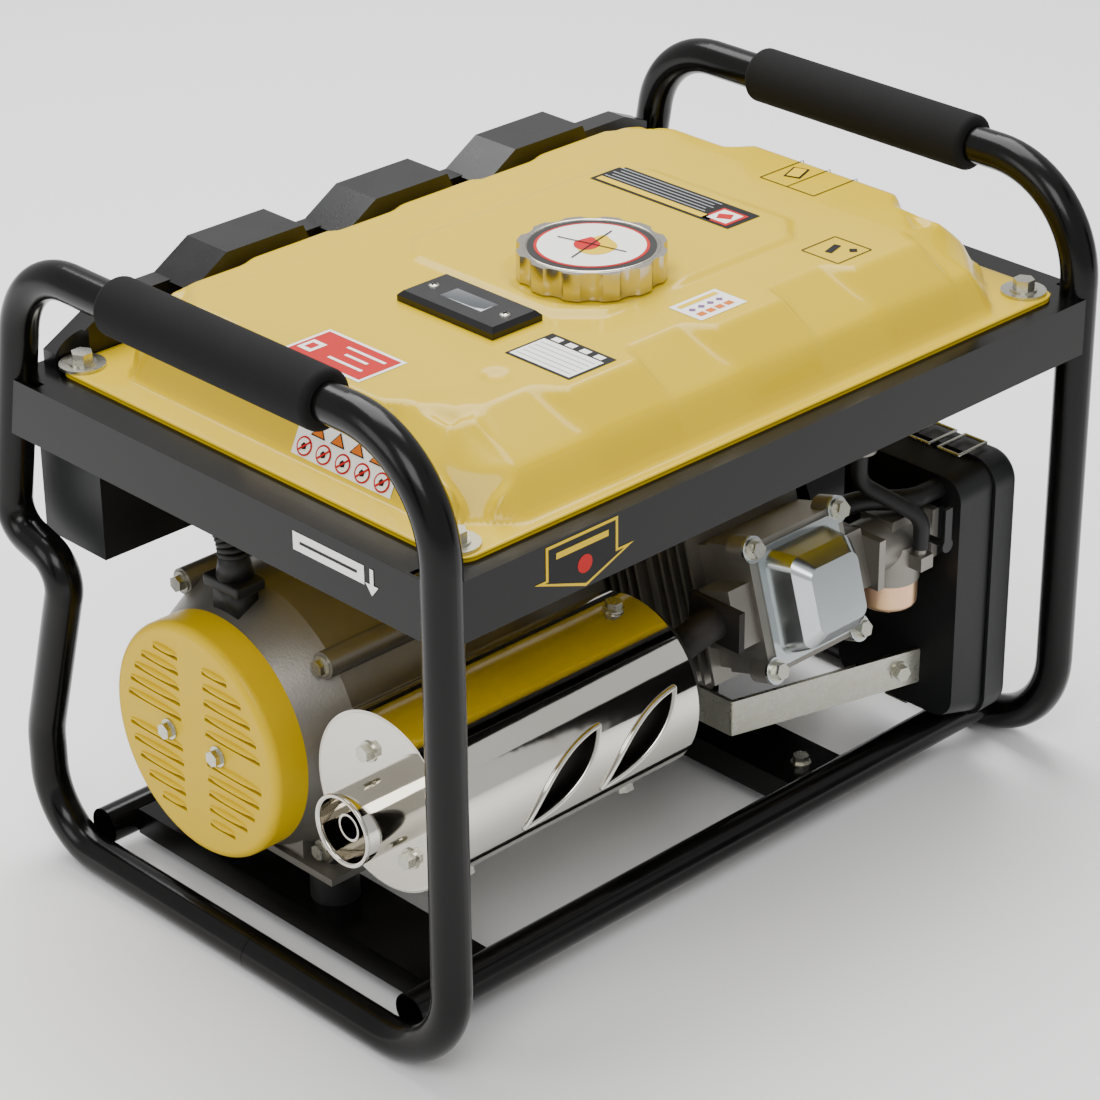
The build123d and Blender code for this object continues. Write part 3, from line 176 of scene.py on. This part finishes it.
prints = {
    "white": finish("print_white", "#f2f1ec", 0.35, second="#ecebe5", bump=0.02),
    "red": finish("print_red", "#b80502", 0.4, second="#b00402", bump=0.02, Specular_IOR_Level=0.2),
    "black": finish("print_black", "#020202", 0.4, second="#040404", bump=0.02, Specular_IOR_Level=0.2),
    "yellow": finish("print_yellow", "#dcb800", 0.4, second="#d8b400", bump=0.02, Specular_IOR_Level=0.2),
    "grey": finish("print_grey", "#8d9093", 0.35, second="#84878a", bump=0.02),
    "orange": finish("print_orange", "#cf6a00", 0.4, second="#c96400", bump=0.02, Specular_IOR_Level=0.2),
    "violet": finish("print_violet", "#5f2f70", 0.35, second="#75547f", bump=0.02),
    "dark": finish("cap_face_enamel", "#343433", 0.3, 0.6, second="#2c2c2b", bump=0.05),
    "window": finish("clear_window", "#3c4146", 0.08, second="#34393e", bump=0.0, Coat_Weight=1.0),
}


def paint_cad_nodes():
    """Give each CAD node the finish of its slot."""
    for part in frame["record"]["subparts"]:
        data = nodes[part["node"]].data
        data.materials.clear()
        data.materials.append(finishes[part["material_slot"]])


# ---------------------------------------------------------------- making pieces
def piece(name, mesh, body, material, smooth=True):
    """Turn a bmesh into a piece that rides on a body, if one is named."""
    data = bpy.data.meshes.new(name)
    mesh.to_mesh(data)
    mesh.free()
    data.materials.append(material)
    made = bpy.data.objects.new(name, data)
    bpy.context.scene.collection.objects.link(made)
    if smooth:
        data.shade_smooth()
    if body:
        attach(made, body)
    return made


def ring(mesh, centre, axis, radius, wire, around=48, section=10):
    """Add a torus to a bmesh."""
    turn = Vector((0, 0, 1)).rotation_difference(Vector(axis)).to_matrix().to_4x4()
    place = Matrix.Translation(centre) @ turn
    seat = place @ Matrix.Translation((radius, 0, 0)) @ Matrix.Rotation(pi / 2, 4, "X")
    start = bmesh.ops.create_circle(mesh, segments=section, radius=wire, matrix=seat)["verts"]
    edges = list({e for v in start for e in v.link_edges})
    bmesh.ops.spin(mesh, geom=edges, cent=centre, axis=Vector(axis), angle=2 * pi, steps=around,
                   use_merge=True)
    bmesh.ops.remove_doubles(mesh, verts=mesh.verts, dist=1e-6)


def settle(mesh):
    """Merge doubles and point every face outwards."""
    bmesh.ops.remove_doubles(mesh, verts=mesh.verts, dist=1e-6)
    bmesh.ops.recalc_face_normals(mesh, faces=mesh.faces)


def box_into(mesh, low, high, place=None):
    """Add a block between two corners."""
    low = Vector(low)
    high = Vector(high)
    size = high - low
    fit = Matrix.Translation((low + high) / 2) @ Matrix.Diagonal((*size, 1))
    bmesh.ops.create_cube(mesh, size=1.0, matrix=(place or Matrix.Identity(4)) @ fit)


def bead(name, points, radius, body, material):
    """A round bead along a closed, smooth path, as a mesh."""
    curve = bpy.data.curves.new(name + "_path", "CURVE")
    curve.dimensions = "3D"
    line = curve.splines.new("NURBS")
    line.points.add(len(points) - 1)
    for spot, co in zip(line.points, points):
        spot.co = (*co, 1)
    line.use_cyclic_u = True
    line.order_u = 3
    line.resolution_u = 8
    curve.bevel_depth = radius
    curve.bevel_resolution = 3
    holder = bpy.data.objects.new(name + "_path", curve)
    mesh = bmesh.new()
    data = bpy.data.meshes.new_from_object(holder)
    mesh.from_mesh(data)
    bpy.data.objects.remove(holder)
    settle(mesh)
    return piece(name, mesh, body, material)


# ---------------------------------------------------------------- tank
cap_at = middle("fuel_cap")
tank_low = lower("tank_upper")
tank_high = upper("tank_upper")
# outlines of the pressing as (x0, x1, y0, y1) in millimetres: on the rim, at the shoulder, and the cap's pad
foot_plan = (-244, 246, -191, 158)
knee_plan = (-232, 241, -175, 150)
pad_plan = (-66, 152, -93, 84)
foot_corner = 36
knee_corner = 34
deck_corner = 26
pad_corner = 24
pad_rise = 3.2
rim_z = tank_low.z + 1.5 * MM
top_z = lower("fuel_cap").z - 1.1 * MM
shoulder_z = top_z - 21 * MM
pitch = 127.0


def soft(value, low, high):
    """A smooth step from 0 at low to 1 at high."""
    t = min(1.0, max(0.0, (value - low) / (high - low)))
    return t * t * (3 - 2 * t)


def inside(x, y, x0, x1, y0, y1, corner):
    """How far a point lies inside a rectangle with cut corners."""
    flat = min(x - x0, x1 - x, y - y0, y1 - y)
    cut = abs(x - x0 if x < 0 else x1 - x) + abs(y - y0 if y < 0 else y1 - y)
    if x0 < x < x1 and y0 < y < y1:
        return min(flat, (cut - corner) * 0.7071)
    return flat


def bulge(x, start, width):
    """1 on the raised lands, which repeat along a side with a soft and a sharp end, and 0 in the notches."""
    phase = (x - start) % pitch
    return soft(phase, 0, 16) * (1 - soft(phase, width, width + 6))


def tank_height(x, y):
    """Height of the pressing above the floor in millimetres, for a place in millimetres."""
    land = bulge(x, -146.0, 76.0)
    land *= soft(x, -200, -190) * (1 - soft(x, 190, 196))
    end_land = soft(y, -100, -84) * (1 - soft(y, 40, 58))
    near = -131.0 - 18.0 * land
    far = 130.0 + 5.0 * land
    left = -207.0 - 12.0 * end_land
    right = 220.0 + 18.0 * end_land
    foot = inside(x, y, *foot_plan, foot_corner)
    knee = inside(x, y, *knee_plan[:2], knee_plan[2] - 2.0 * land, knee_plan[3], knee_corner)
    deck = inside(x, y, left, right, near, far, deck_corner)
    rim = rim_z / MM
    knee_z = shoulder_z / MM
    deck_z = top_z / MM
    if foot <= 0:
        return rim
    if knee <= 0:
        return rim + (knee_z - rim) * foot / (foot - knee)
    if deck <= 0:
        return knee_z + (deck_z - knee_z) * knee / (knee - deck)
    pad = inside(x, y, *pad_plan, pad_corner)
    rise = pad_rise * soft(pad, 0, 4)
    rise *= soft(hypot(x - cap_at.x / MM, y - cap_at.y / MM), 50, 58)
    crease = 0.9 * (1 - soft(abs(y - 108), 0, 3.0)) * (1 - soft(abs(x), 185, 195))
    dimple = 3.0 * soft(8 - hypot(x + 147, y + 106) * 0.7, 0, 5)
    return deck_z + rise + crease - dimple


def tank_pressing():
    """The upper half of the tank: a pressed sheet with notched shoulders on a flat rim."""
    mesh = bmesh.new()
    half = Vector(((tank_high.x - tank_low.x) / 2, (tank_high.y - tank_low.y) / 2))
    centre = (tank_low + tank_high) / 2
    step = 2.6 * MM
    spread = Matrix.Translation((centre.x, centre.y, 0)) @ Matrix.Diagonal((half.x, half.y, 1, 1))
    bmesh.ops.create_grid(mesh, x_segments=int(2 * half.x / step), y_segments=int(2 * half.y / step),
                          size=1.0, matrix=spread)
    corner = 14 * MM
    for v in mesh.verts:
        across = Vector((abs(v.co.x - centre.x) - half.x + corner, abs(v.co.y - centre.y) - half.y + corner))
        if across.x > 0 and across.y > 0 and across.length > corner:
            across = across.normalized() * corner
            v.co.x = centre.x + (half.x - corner + across.x) * (1 if v.co.x > centre.x else -1)
            v.co.y = centre.y + (half.y - corner + across.y) * (1 if v.co.y > centre.y else -1)
        v.co.z = tank_height(v.co.x / MM, v.co.y / MM) * MM
    pressed = [v for v in mesh.verts if v.co.z > rim_z + 0.2 * MM]
    for turn in range(2):
        bmesh.ops.smooth_vert(mesh, verts=pressed, factor=0.5, use_axis_z=True)
    made = piece("tank_pressing", mesh, "frame", finishes["tank_paint"])
    sheet = made.modifiers.new("sheet", "SOLIDIFY")
    sheet.thickness = 1.4 * MM
    sheet.offset = -1
    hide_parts("tank_upper")
    return made


def on_tank(u, v, lift=0.35):
    """A point on the pressing, lifted by a decal's thickness; u, v in millimetres."""
    return Vector((u * MM, v * MM, (tank_height(u, v) + lift) * MM))


def decal(name, centre, size, turn, colour, lift=0.35):
    """A printed patch that follows the tank's surface: centre and size in millimetres, turn in degrees."""
    mesh = bmesh.new()
    wide, high = size
    bmesh.ops.create_grid(mesh, x_segments=max(1, int(wide / 3)), y_segments=max(1, int(high / 3)), size=0.5)
    spin = Matrix.Rotation(radians(turn), 2)
    for v in mesh.verts:
        flat = spin @ Vector((v.co.x * wide, v.co.y * high))
        v.co = on_tank(centre[0] + flat.x, centre[1] + flat.y, lift)
    return piece(name, mesh, "frame", prints[colour], smooth=False)


def tank_decals():
    """Plain printed patches with bars and blocks, and no lettering."""
    red = (-192.5, -22.0)
    decal("decal_fuel_edge", red, (39, 70), 0, "white", 0.3)
    decal("decal_fuel_field", red, (34, 65), 0, "red", 0.45)
    decal("decal_fuel_tank", (-197, 2), (14, 12), 0, "white", 0.6)
    decal("decal_fuel_nozzle", (-197, 2), (7, 6), 0, "red", 0.75)
    for index, (dx, long) in enumerate(((9, 34), (1, 20), (-8, 30))):
        decal(f"decal_fuel_bar_{index}", (red[0] + dx, red[1] - 10), (2.4, long), 0, "white", 0.6)
    plate = (-102, -114.5)
    decal("decal_plate_edge", plate, (40, 55), 0, "black", 0.3)
    decal("decal_plate_field", (plate[0] - 3.5, plate[1]), (29, 51), 0, "white", 0.45)
    for row in range(5):
        decal(f"decal_plate_rule_{row}", (plate[0] - 14 + 5 * row, plate[1]), (0.6, 46), 0, "grey", 0.6)
    for spot in range(4):
        mark = (plate[0] + 15, plate[1] + 18 - 12 * spot)
        decal(f"decal_plate_mark_{spot}", mark, (5, 7), 0, "white", 0.45)
    notice = (122.5, 9)
    decal("decal_notice_edge", notice, (31, 126), 0, "black", 0.3)
    decal("decal_notice_strip", (notice[0] - 10, notice[1] + 8), (6, 104), 0, "yellow", 0.45)
    for row in range(5):
        rule = (notice[0] - 4 + 4 * row, notice[1] + 14)
        decal(f"decal_notice_rule_{row}", rule, (1.2, 92 - 6 * (row % 2)), 0, "grey", 0.45)
    decal("decal_notice_field", (notice[0] - 2, notice[1] - 48), (22, 22), 0, "red", 0.45)
    decal("decal_notice_mark", (notice[0] - 2, notice[1] - 48), (17, 17), 0, "white", 0.6)
    decal("decal_notice_flame", (notice[0] - 2, notice[1] - 48), (8, 10), 30, "red", 0.75)
    chart = (15.5, -124)
    decal("decal_chart_field", chart, (41, 28), 0, "white", 0.3)
    decal("decal_chart_head", (chart[0], chart[1] + 9), (34, 4), 0, "yellow", 0.45)
    for spot in range(4):
        across = chart[0] - 13 + 8 * spot
        decal(f"decal_chart_block_{spot}", (across, chart[1] - 7), (6, 5), 0, "orange", 0.45)
        decal(f"decal_chart_mark_{spot}", (across, chart[1] + 1), (4, 4), 45, "violet", 0.45)
    for name, centre, size in (("sheet", (217, -26), (46, 48)), ("output", (136, -122), (32, 31))):
        for side in (-1, 1):
            edge_x = (centre[0] + side * size[0] / 2, centre[1])
            edge_y = (centre[0], centre[1] + side * size[1] / 2)
            decal(f"decal_{name}_edge_x{side}", edge_x, (0.9, size[1]), 0, "black")
            decal(f"decal_{name}_edge_y{side}", edge_y, (size[0], 0.9), 0, "black")
    decal("decal_sheet_split", (217, -26), (46, 0.8), 0, "black")
    decal("decal_sheet_sheet", (217, -14), (18, 12), 20, "black")
    decal("decal_sheet_sheet_gap", (217, -14), (15, 9), 20, "yellow", 0.5)
    decal("decal_output_bar", (136, -119), (14, 5), 15, "black")
    decal("decal_output_spot", (143, -130), (5, 5), 45, "black")


def slope_patch(name, corners, colour, lift):
    """A flat printed patch on the tank's left slope: corners as (y, distance up the slope) in millimetres."""
    mesh = bmesh.new()
    verts = bmesh.ops.create_circle(mesh, cap_ends=True, segments=len(corners), radius=1.0)["verts"]
    for v, (across, climb) in zip(verts, corners):
        x = -243.4 + 0.4 * climb
        v.co = Vector(((x - lift) * MM, across * MM, (tank_height(x, across) + 0.4 * lift) * MM))
    bmesh.ops.recalc_face_normals(mesh, faces=mesh.faces)
    return piece(name, mesh, "frame", prints[colour], smooth=False)


def disc_corners(across, climb, radius, count=24):
    """Corners of a round patch."""
    return [(across + radius * cos(2 * pi * t / count), climb + radius * sin(2 * pi * t / count))
            for t in range(count)]


def tank_end_sticker():
    """The white sticker on the tank's left slope: four triangles over five barred rings."""
    y0, y1 = -118.0, -30.0
    slope_patch("end_sticker", [(y0, 1.0), (y1, 1.0), (y1, 27.0), (y0, 27.0)], "white", 0.5)
    for spot in range(5):
        across = y1 - 9.5 - spot * 17.2
        slope_patch(f"end_ring_{spot}", disc_corners(across, 8.5, 6.6), "red", 0.75)
        slope_patch(f"end_ring_gap_{spot}", disc_corners(across, 8.5, 5.3), "white", 0.95)
        slope_patch(f"end_mark_{spot}", disc_corners(across, 8.5, 2.6, 5), "black", 1.1)
        slope_patch(f"end_bar_{spot}", [(across - 4.6, 11.8), (across - 3.6, 12.8), (across + 4.6, 5.2),
                                        (across + 3.6, 4.2)], "red", 1.25)
        if spot < 4:
            middle_y = across - 8.6
            border = [(middle_y - 6.5, 17.2), (middle_y + 6.5, 17.2), (middle_y, 26.4)]
            field = [(middle_y - 5.0, 18.1), (middle_y + 5.0, 18.1), (middle_y, 25.2)]
            slope_patch(f"end_sign_{spot}", border, "black", 0.75)
            slope_patch(f"end_sign_field_{spot}", field, "orange", 0.95)


def plate(name, corners, body, colour, along, lift=0.4):
    """A flat printed patch on the belt's near (y) or left (x) face: corners as (across, z) in millimetres."""
    mesh = bmesh.new()
    face = lower("tank_belt")
    verts = bmesh.ops.create_circle(mesh, cap_ends=True, segments=len(corners), radius=1.0)["verts"]
    for v, (across, z) in zip(verts, corners):
        if along == "y":
            v.co = Vector((across * MM, face.y - lift * MM, z * MM))
        else:
            v.co = Vector((face.x - lift * MM, across * MM, z * MM))
    bmesh.ops.recalc_face_normals(mesh, faces=mesh.faces)
    return piece(name, mesh, body, prints[colour], smooth=False)


def belt_marks():
    """Plain marks on the belt: a heat arrow on the near side and an outlet arrow on the left end."""
    arrow = ((-213, 347), (-155, 347), (-155, 326), (-142, 326), (-181, 311), (-222, 326), (-213, 326))
    inner = ((-211, 345), (-157, 345), (-157, 324.5), (-150, 324.5), (-181, 313), (-214, 324.5),
             (-211, 324.5))
    plate("belt_heat_edge", arrow, "frame", "yellow", "y", 0.3)
    plate("belt_heat_field", inner, "frame", "black", "y", 0.45)
    plate("belt_heat_bar", ((-205, 341), (-163, 341), (-163, 337), (-205, 337)), "frame", "yellow", "y", 0.6)
    plate("belt_heat_mark", tuple((-182 + 6 * cos(t * pi / 6), 326 + 6 * sin(t * pi / 6)) for t in range(12)),
          "frame", "red", "y", 0.6)
    plate("belt_outlet_field", ((-88, 341), (-150, 341), (-150, 329), (-88, 329)), "frame", "white", "x", 0.3)
    plate("belt_outlet_bar", ((-94, 336), (-144, 336), (-144, 334), (-94, 334)), "frame", "black", "x", 0.45)
    outlet = ((-155, 341), (-158, 341), (-158, 331), (-162, 331), (-156.5, 324), (-151, 331), (-155, 331))
    plate("belt_outlet_arrow", outlet, "frame", "white", "x", 0.45)


def cap_face():
    """The cap's dark face, red ring and white disc with a plain fuel drop."""
    top = upper("fuel_cap").z
    centre = Vector((cap_at.x, cap_at.y, top))
    discs = (("cap_disc_dark", 41.0, 0.15, "dark"), ("cap_disc_red", 36.5, 0.3, "red"),
             ("cap_disc_white", 34.5, 0.45, "white"))
    for name, radius, lift, colour in discs:
        mesh = bmesh.new()
        bmesh.ops.create_circle(mesh, cap_ends=True, segments=72, radius=radius * MM,
                                matrix=Matrix.Translation(centre + Vector((0, 0, lift * MM))))
        piece(name, mesh, "cap", prints[colour], smooth=False)
    for name, scale, colour, lift, shift in (("cap_drop_outer", 13.0, "yellow", 0.6, (2, -3)),
                                             ("cap_drop_inner", 8.5, "red", 0.75, (-1, 3))):
        mesh = bmesh.new()
        verts = bmesh.ops.create_circle(mesh, cap_ends=True, segments=36, radius=scale * MM)["verts"]
        for v in verts:
            v.co.x *= 1.0 - 0.55 * soft(v.co.y / MM, 0, scale)
            v.co.y *= 1.25
        place = Matrix.Translation(centre + Vector((shift[0] * MM, shift[1] * MM, lift * MM)))
        bmesh.ops.transform(mesh, matrix=place @ Matrix.Rotation(radians(-60), 4, "Z"), verts=mesh.verts)
        piece(name, mesh, "cap", prints[colour], smooth=False)
    for name, turn in (("cap_stroke_a", 15), ("cap_stroke_b", -75)):
        mesh = bmesh.new()
        place = Matrix.Translation(centre + Vector((0, 0, 0.9 * MM))) @ Matrix.Rotation(radians(turn), 4, "Z")
        box_into(mesh, (-0.5 * MM, -25 * MM, 0), (0.5 * MM, 25 * MM, 0.1 * MM), place)
        piece(name, mesh, "cap", prints["black"], smooth=False)
    mesh = bmesh.new()
    ring(mesh, centre - Vector((0, 0, 0.6 * MM)), (0, 0, 1), 42.5 * MM, 1.3 * MM, around=96)
    settle(mesh)
    piece("cap_polished_edge", mesh, "cap", finishes["cap_steel"])


def gauge_details():
    """The gauge's window and its two cross-head screws."""
    top = upper("gauge_bezel").z
    centre = middle("gauge_bezel")
    mesh = bmesh.new()
    box_into(mesh, (centre.x - 8 * MM, centre.y - 19 * MM, top - 1.8 * MM),
             (centre.x + 8 * MM, centre.y + 19 * MM, top + 0.4 * MM))
    bmesh.ops.bevel(mesh, geom=mesh.edges[:], offset=1.5 * MM, segments=3, profile=0.5, affect="EDGES",
                    material=-1)
    piece("gauge_window", mesh, "frame", prints["window"])
    for side in (-1, 1):
        mesh = bmesh.new()
        spot = Vector((centre.x, centre.y + side * 32 * MM, top))
        bmesh.ops.create_uvsphere(mesh, u_segments=24, v_segments=12, radius=3.6 * MM,
                                  matrix=Matrix.Translation(spot) @ Matrix.Diagonal((1, 1, 0.4, 1)))
        piece(f"gauge_screw_{side}", mesh, "frame", finishes["zinc"])
        mesh = bmesh.new()
        for turn in (20, 110):
            on_head = Matrix.Translation(spot + Vector((0, 0, 1.1 * MM)))
            place = on_head @ Matrix.Rotation(radians(turn), 4, "Z")
            box_into(mesh, (-2.2 * MM, -0.45 * MM, 0), (2.2 * MM, 0.45 * MM, 0.5 * MM), place)
        piece(f"gauge_screw_cross_{side}", mesh, "frame", prints["black"], smooth=False)


# ---------------------------------------------------------------- muffler
muffler_low = lower("muffler_shell")
muffler_high = upper("muffler_shell")
muffler_mid = (muffler_low + muffler_high) / 2
muffler_r = (muffler_high.z - muffler_low.z) / 2
tip_low = lower("exhaust_tip")
tip_high = upper("exhaust_tip")
tip_mid = (tip_low + tip_high) / 2


def muffler_trim():
    """Rolled rims round the leaf openings, the shell's ends and the outlet."""
    long, wide, lean = 39.0, 12.0, radians(36)
    for index, leaf_x in enumerate((-96.0, -162.0)):
        points = []
        for step in range(40):
            t = 2 * pi * step / 40
            along = long * cos(t)
            rise = wide * (1 - (along / long) ** 2) * (1 if sin(t) >= 0 else -1)
            x = leaf_x + along * cos(lean) - rise * sin(lean)
            dz = along * sin(lean) + rise * cos(lean)
            y = muffler_mid.y / MM - sqrt((muffler_r / MM + 0.2) ** 2 - dz ** 2)
            points.append((x * MM, y * MM, muffler_mid.z + dz * MM))
        bead(f"leaf_rim_{index}", points, 1.9 * MM, "frame", finishes["muffler_chrome"])
    mesh = bmesh.new()
    for x in (muffler_low.x - 2.0 * MM, muffler_high.x - 1.0 * MM):
        end = Vector((x, muffler_mid.y, muffler_mid.z))
        ring(mesh, end, (1, 0, 0), muffler_r - 1.2 * MM, 1.2 * MM, around=96)
    mouth = Vector((tip_low.x + 1.6 * MM, tip_mid.y, tip_mid.z))
    ring(mesh, mouth, (1, 0, 0), (tip_high.z - tip_low.z) / 2 - 1.2 * MM, 1.6 * MM, around=72)
    settle(mesh)
    piece("muffler_rolled_edges", mesh, "frame", finishes["muffler_chrome"])


# ---------------------------------------------------------------- alternator
def louvre_lips():
    """Pressed lips over the slots of the fan cover."""
    face = lower("alternator_cover")
    centre = middle("alternator_cover")
    count, gap = 11, 11.0
    for index in range(count):
        offset = (index - (count - 1) / 2) * gap
        if abs(offset) < 0.1:
            continue
        reach = sqrt(66.0 ** 2 - offset ** 2)
        for side in (-1, 1):
            if reach - 12 <= 8:
                continue
            mesh = bmesh.new()
            mid = side * (12 + reach) / 2
            half = (reach - 12) / 2
            bmesh.ops.create_uvsphere(mesh, u_segments=24, v_segments=12, radius=1.0)
            spot = (face.x + 0.3 * MM, centre.y + mid * MM, centre.z + (offset + 2.9) * MM)
            stretch = Matrix.Diagonal((2.6 * MM, half * MM, 2.2 * MM, 1))
            bmesh.ops.transform(mesh, matrix=Matrix.Translation(spot) @ stretch, verts=mesh.verts)
            piece(f"louvre_lip_{index}_{'l' if side < 0 else 'r'}", mesh, "frame", finishes["yellow_plastic"])


def conduit():
    """The grommet's flange, its tapered boot, and the corrugated conduit up to the panel."""
    centre = Vector((-234 * MM, middle("crankshaft").y, 0))
    low = lower("wiring_conduit").z
    far = upper("wiring_conduit").y
    mesh = bmesh.new()
    box_into(mesh, centre + Vector((-13 * MM, -17 * MM, low + 18 * MM)),
             centre + Vector((11 * MM, 17 * MM, low + 26 * MM)))
    bmesh.ops.bevel(mesh, geom=mesh.edges[:], offset=2.0 * MM, segments=3, profile=0.5, affect="EDGES",
                    material=-1)
    bmesh.ops.create_cone(mesh, cap_ends=True, segments=40, radius1=12.5 * MM, radius2=9.0 * MM,
                          depth=20 * MM, matrix=Matrix.Translation(centre + Vector((0, 0, low + 34 * MM))))
    box_into(mesh, centre + Vector((-9 * MM, -12 * MM, low)),
             centre + Vector((8 * MM, 12 * MM, low + 20 * MM)))
    settle(mesh)
    foot = piece("conduit_boot", mesh, "frame", finishes["rubber"])
    mesh = bmesh.new()
    bend = 26 * MM
    turn_z = upper("wiring_conduit").z - 12 * MM
    start_z = low + 42 * MM
    rise = turn_z - bend - start_z
    run = far - 2 * MM - centre.y - bend
    reach = rise + bend * pi / 2 + run
    count = int(reach / (3.6 * MM))
    for index in range(count + 1):
        t = reach * index / count
        if t < rise:
            spot, way = Vector((0, 0, start_z + t)), Vector((0, 0, 1))
        elif t < rise + bend * pi / 2:
            angle = (t - rise) / bend
            spot = Vector((0, bend * (1 - cos(angle)), turn_z - bend + bend * sin(angle)))
            way = Vector((0, sin(angle), cos(angle)))
        else:
            spot, way = Vector((0, bend + t - rise - bend * pi / 2, turn_z)), Vector((0, 1, 0))
        ring(mesh, centre + spot, way, 8.6 * MM, 2.2 * MM, around=28, section=8)
    settle(mesh)
    hose = piece("conduit_corrugated", mesh, "frame", finishes["rubber"])
    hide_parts("wiring_conduit")
    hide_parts("wiring_conduit")


def starter_rope():
    """The rope between the recoil cover and the pull handle."""
    centre = middle("pull_handle")
    inner = lower("pull_handle").x - 4 * MM
    outer = inner + 10 * MM
    mesh = bmesh.new()
    rope_r = 2.2 * MM
    seat = Matrix.Translation(((inner + outer) / 2, centre.y, centre.z)) @ Matrix.Rotation(pi / 2, 4, "Y")
    bmesh.ops.create_cone(mesh, cap_ends=True, segments=20, radius1=rope_r, radius2=rope_r,
                          depth=outer - inner, matrix=seat)
    sides = [e for e in mesh.edges if abs(e.verts[0].co.x - e.verts[1].co.x) > 1 * MM]
    bmesh.ops.subdivide_edges(mesh, edges=sides, cuts=24)
    made = piece("starter_rope", mesh, None, prints["white"])
    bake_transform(made)


# ---------------------------------------------------------------- stage
def stage():
    """A pale floor, dark flags for the chrome to reflect, and soft light."""
    mesh = bmesh.new()
    bmesh.ops.create_grid(mesh, x_segments=1, y_segments=1, size=4.0)
    data = bpy.data.meshes.new("floor")
    mesh.to_mesh(data)
    mesh.free()
    floor = bpy.data.objects.new("floor", data)
    data.materials.append(finish("paper_floor", "#f4f4f4", 0.9, second="#f4f4f4", bump=0.0))
    bpy.context.scene.collection.objects.link(floor)
    shade = finish("black_flag", "#030303", 0.95, second="#030303", bump=0.0, Specular_IOR_Level=0.1)
    flags = (("flag_right", (1.5, -1.9, 0.55), (0.5, 1.1)), ("flag_left", (-2.6, -0.7, 0.9), (0.5, 1.2)),
             ("flag_high", (1.1, -1.3, 1.9), (0.9, 0.35)))
    for name, place, size in flags:
        mesh = bmesh.new()
        bmesh.ops.create_grid(mesh, x_segments=1, y_segments=1, size=0.5)
        for v in mesh.verts:
            v.co.x *= size[0]
            v.co.y *= size[1]
        data = bpy.data.meshes.new(name)
        mesh.to_mesh(data)
        mesh.free()
        data.materials.append(shade)
        flag = bpy.data.objects.new(name, data)
        flag.location = place
        flag.rotation_euler = (Vector((0, 0, 0.2)) - Vector(place)).to_track_quat("-Z", "Y").to_euler()
        bpy.context.scene.collection.objects.link(flag)
    world = bpy.data.worlds.new("studio")
    bpy.context.scene.world = world
    world.use_nodes = True
    world.node_tree.nodes["Background"].inputs[0].default_value = (1, 1, 1, 1)
    world.node_tree.nodes["Background"].inputs[1].default_value = 0.75
    for name, place, aim, size, power in (("key", (-1.6, -1.3, 2.2), (0, 0, 0.2), 1.2, 32),
                                          ("fill", (-2.4, 0.6, 1.2), (0, 0, 0.2), 1.0, 12),
                                          ("top", (0.5, 0.8, 2.6), (0, 0, 0.3), 2.2, 120)):
        lamp = bpy.data.lights.new(name, "AREA")
        lamp.size = size
        lamp.energy = power
        made = bpy.data.objects.new(name, lamp)
        made.location = place
        made.rotation_euler = (Vector(aim) - Vector(place)).to_track_quat("-Z", "Y").to_euler()
        bpy.context.scene.collection.objects.link(made)


def camera():
    """The viewpoint: above the muffler's left end."""
    turn, rise, roll = radians(-43.862), radians(27.557), radians(-0.534)
    back = Vector((sin(turn) * cos(rise), -cos(turn) * cos(rise), sin(rise)))
    right = Vector((0, 0, 1)).cross(back).normalized()
    up = back.cross(right)
    across = right * cos(roll) + up * sin(roll)
    above = up * cos(roll) - right * sin(roll)
    lens = bpy.data.cameras.new("camera")
    lens.lens = 115.32
    lens.sensor_width = 36.0
    lens.clip_end = 20.0
    made = bpy.data.objects.new("camera", lens)
    place = Matrix((across, above, back)).transposed().to_4x4()
    place.translation = Vector((-1.4356, -1.4915, 1.2681))
    made.matrix_world = place
    bpy.context.scene.collection.objects.link(made)
    bpy.context.scene.camera = made


camera()
stage()
paint_cad_nodes()
tank_pressing()
tank_decals()
tank_end_sticker()
belt_marks()
cap_face()
gauge_details()
muffler_trim()
louvre_lips()
conduit()
starter_rope()
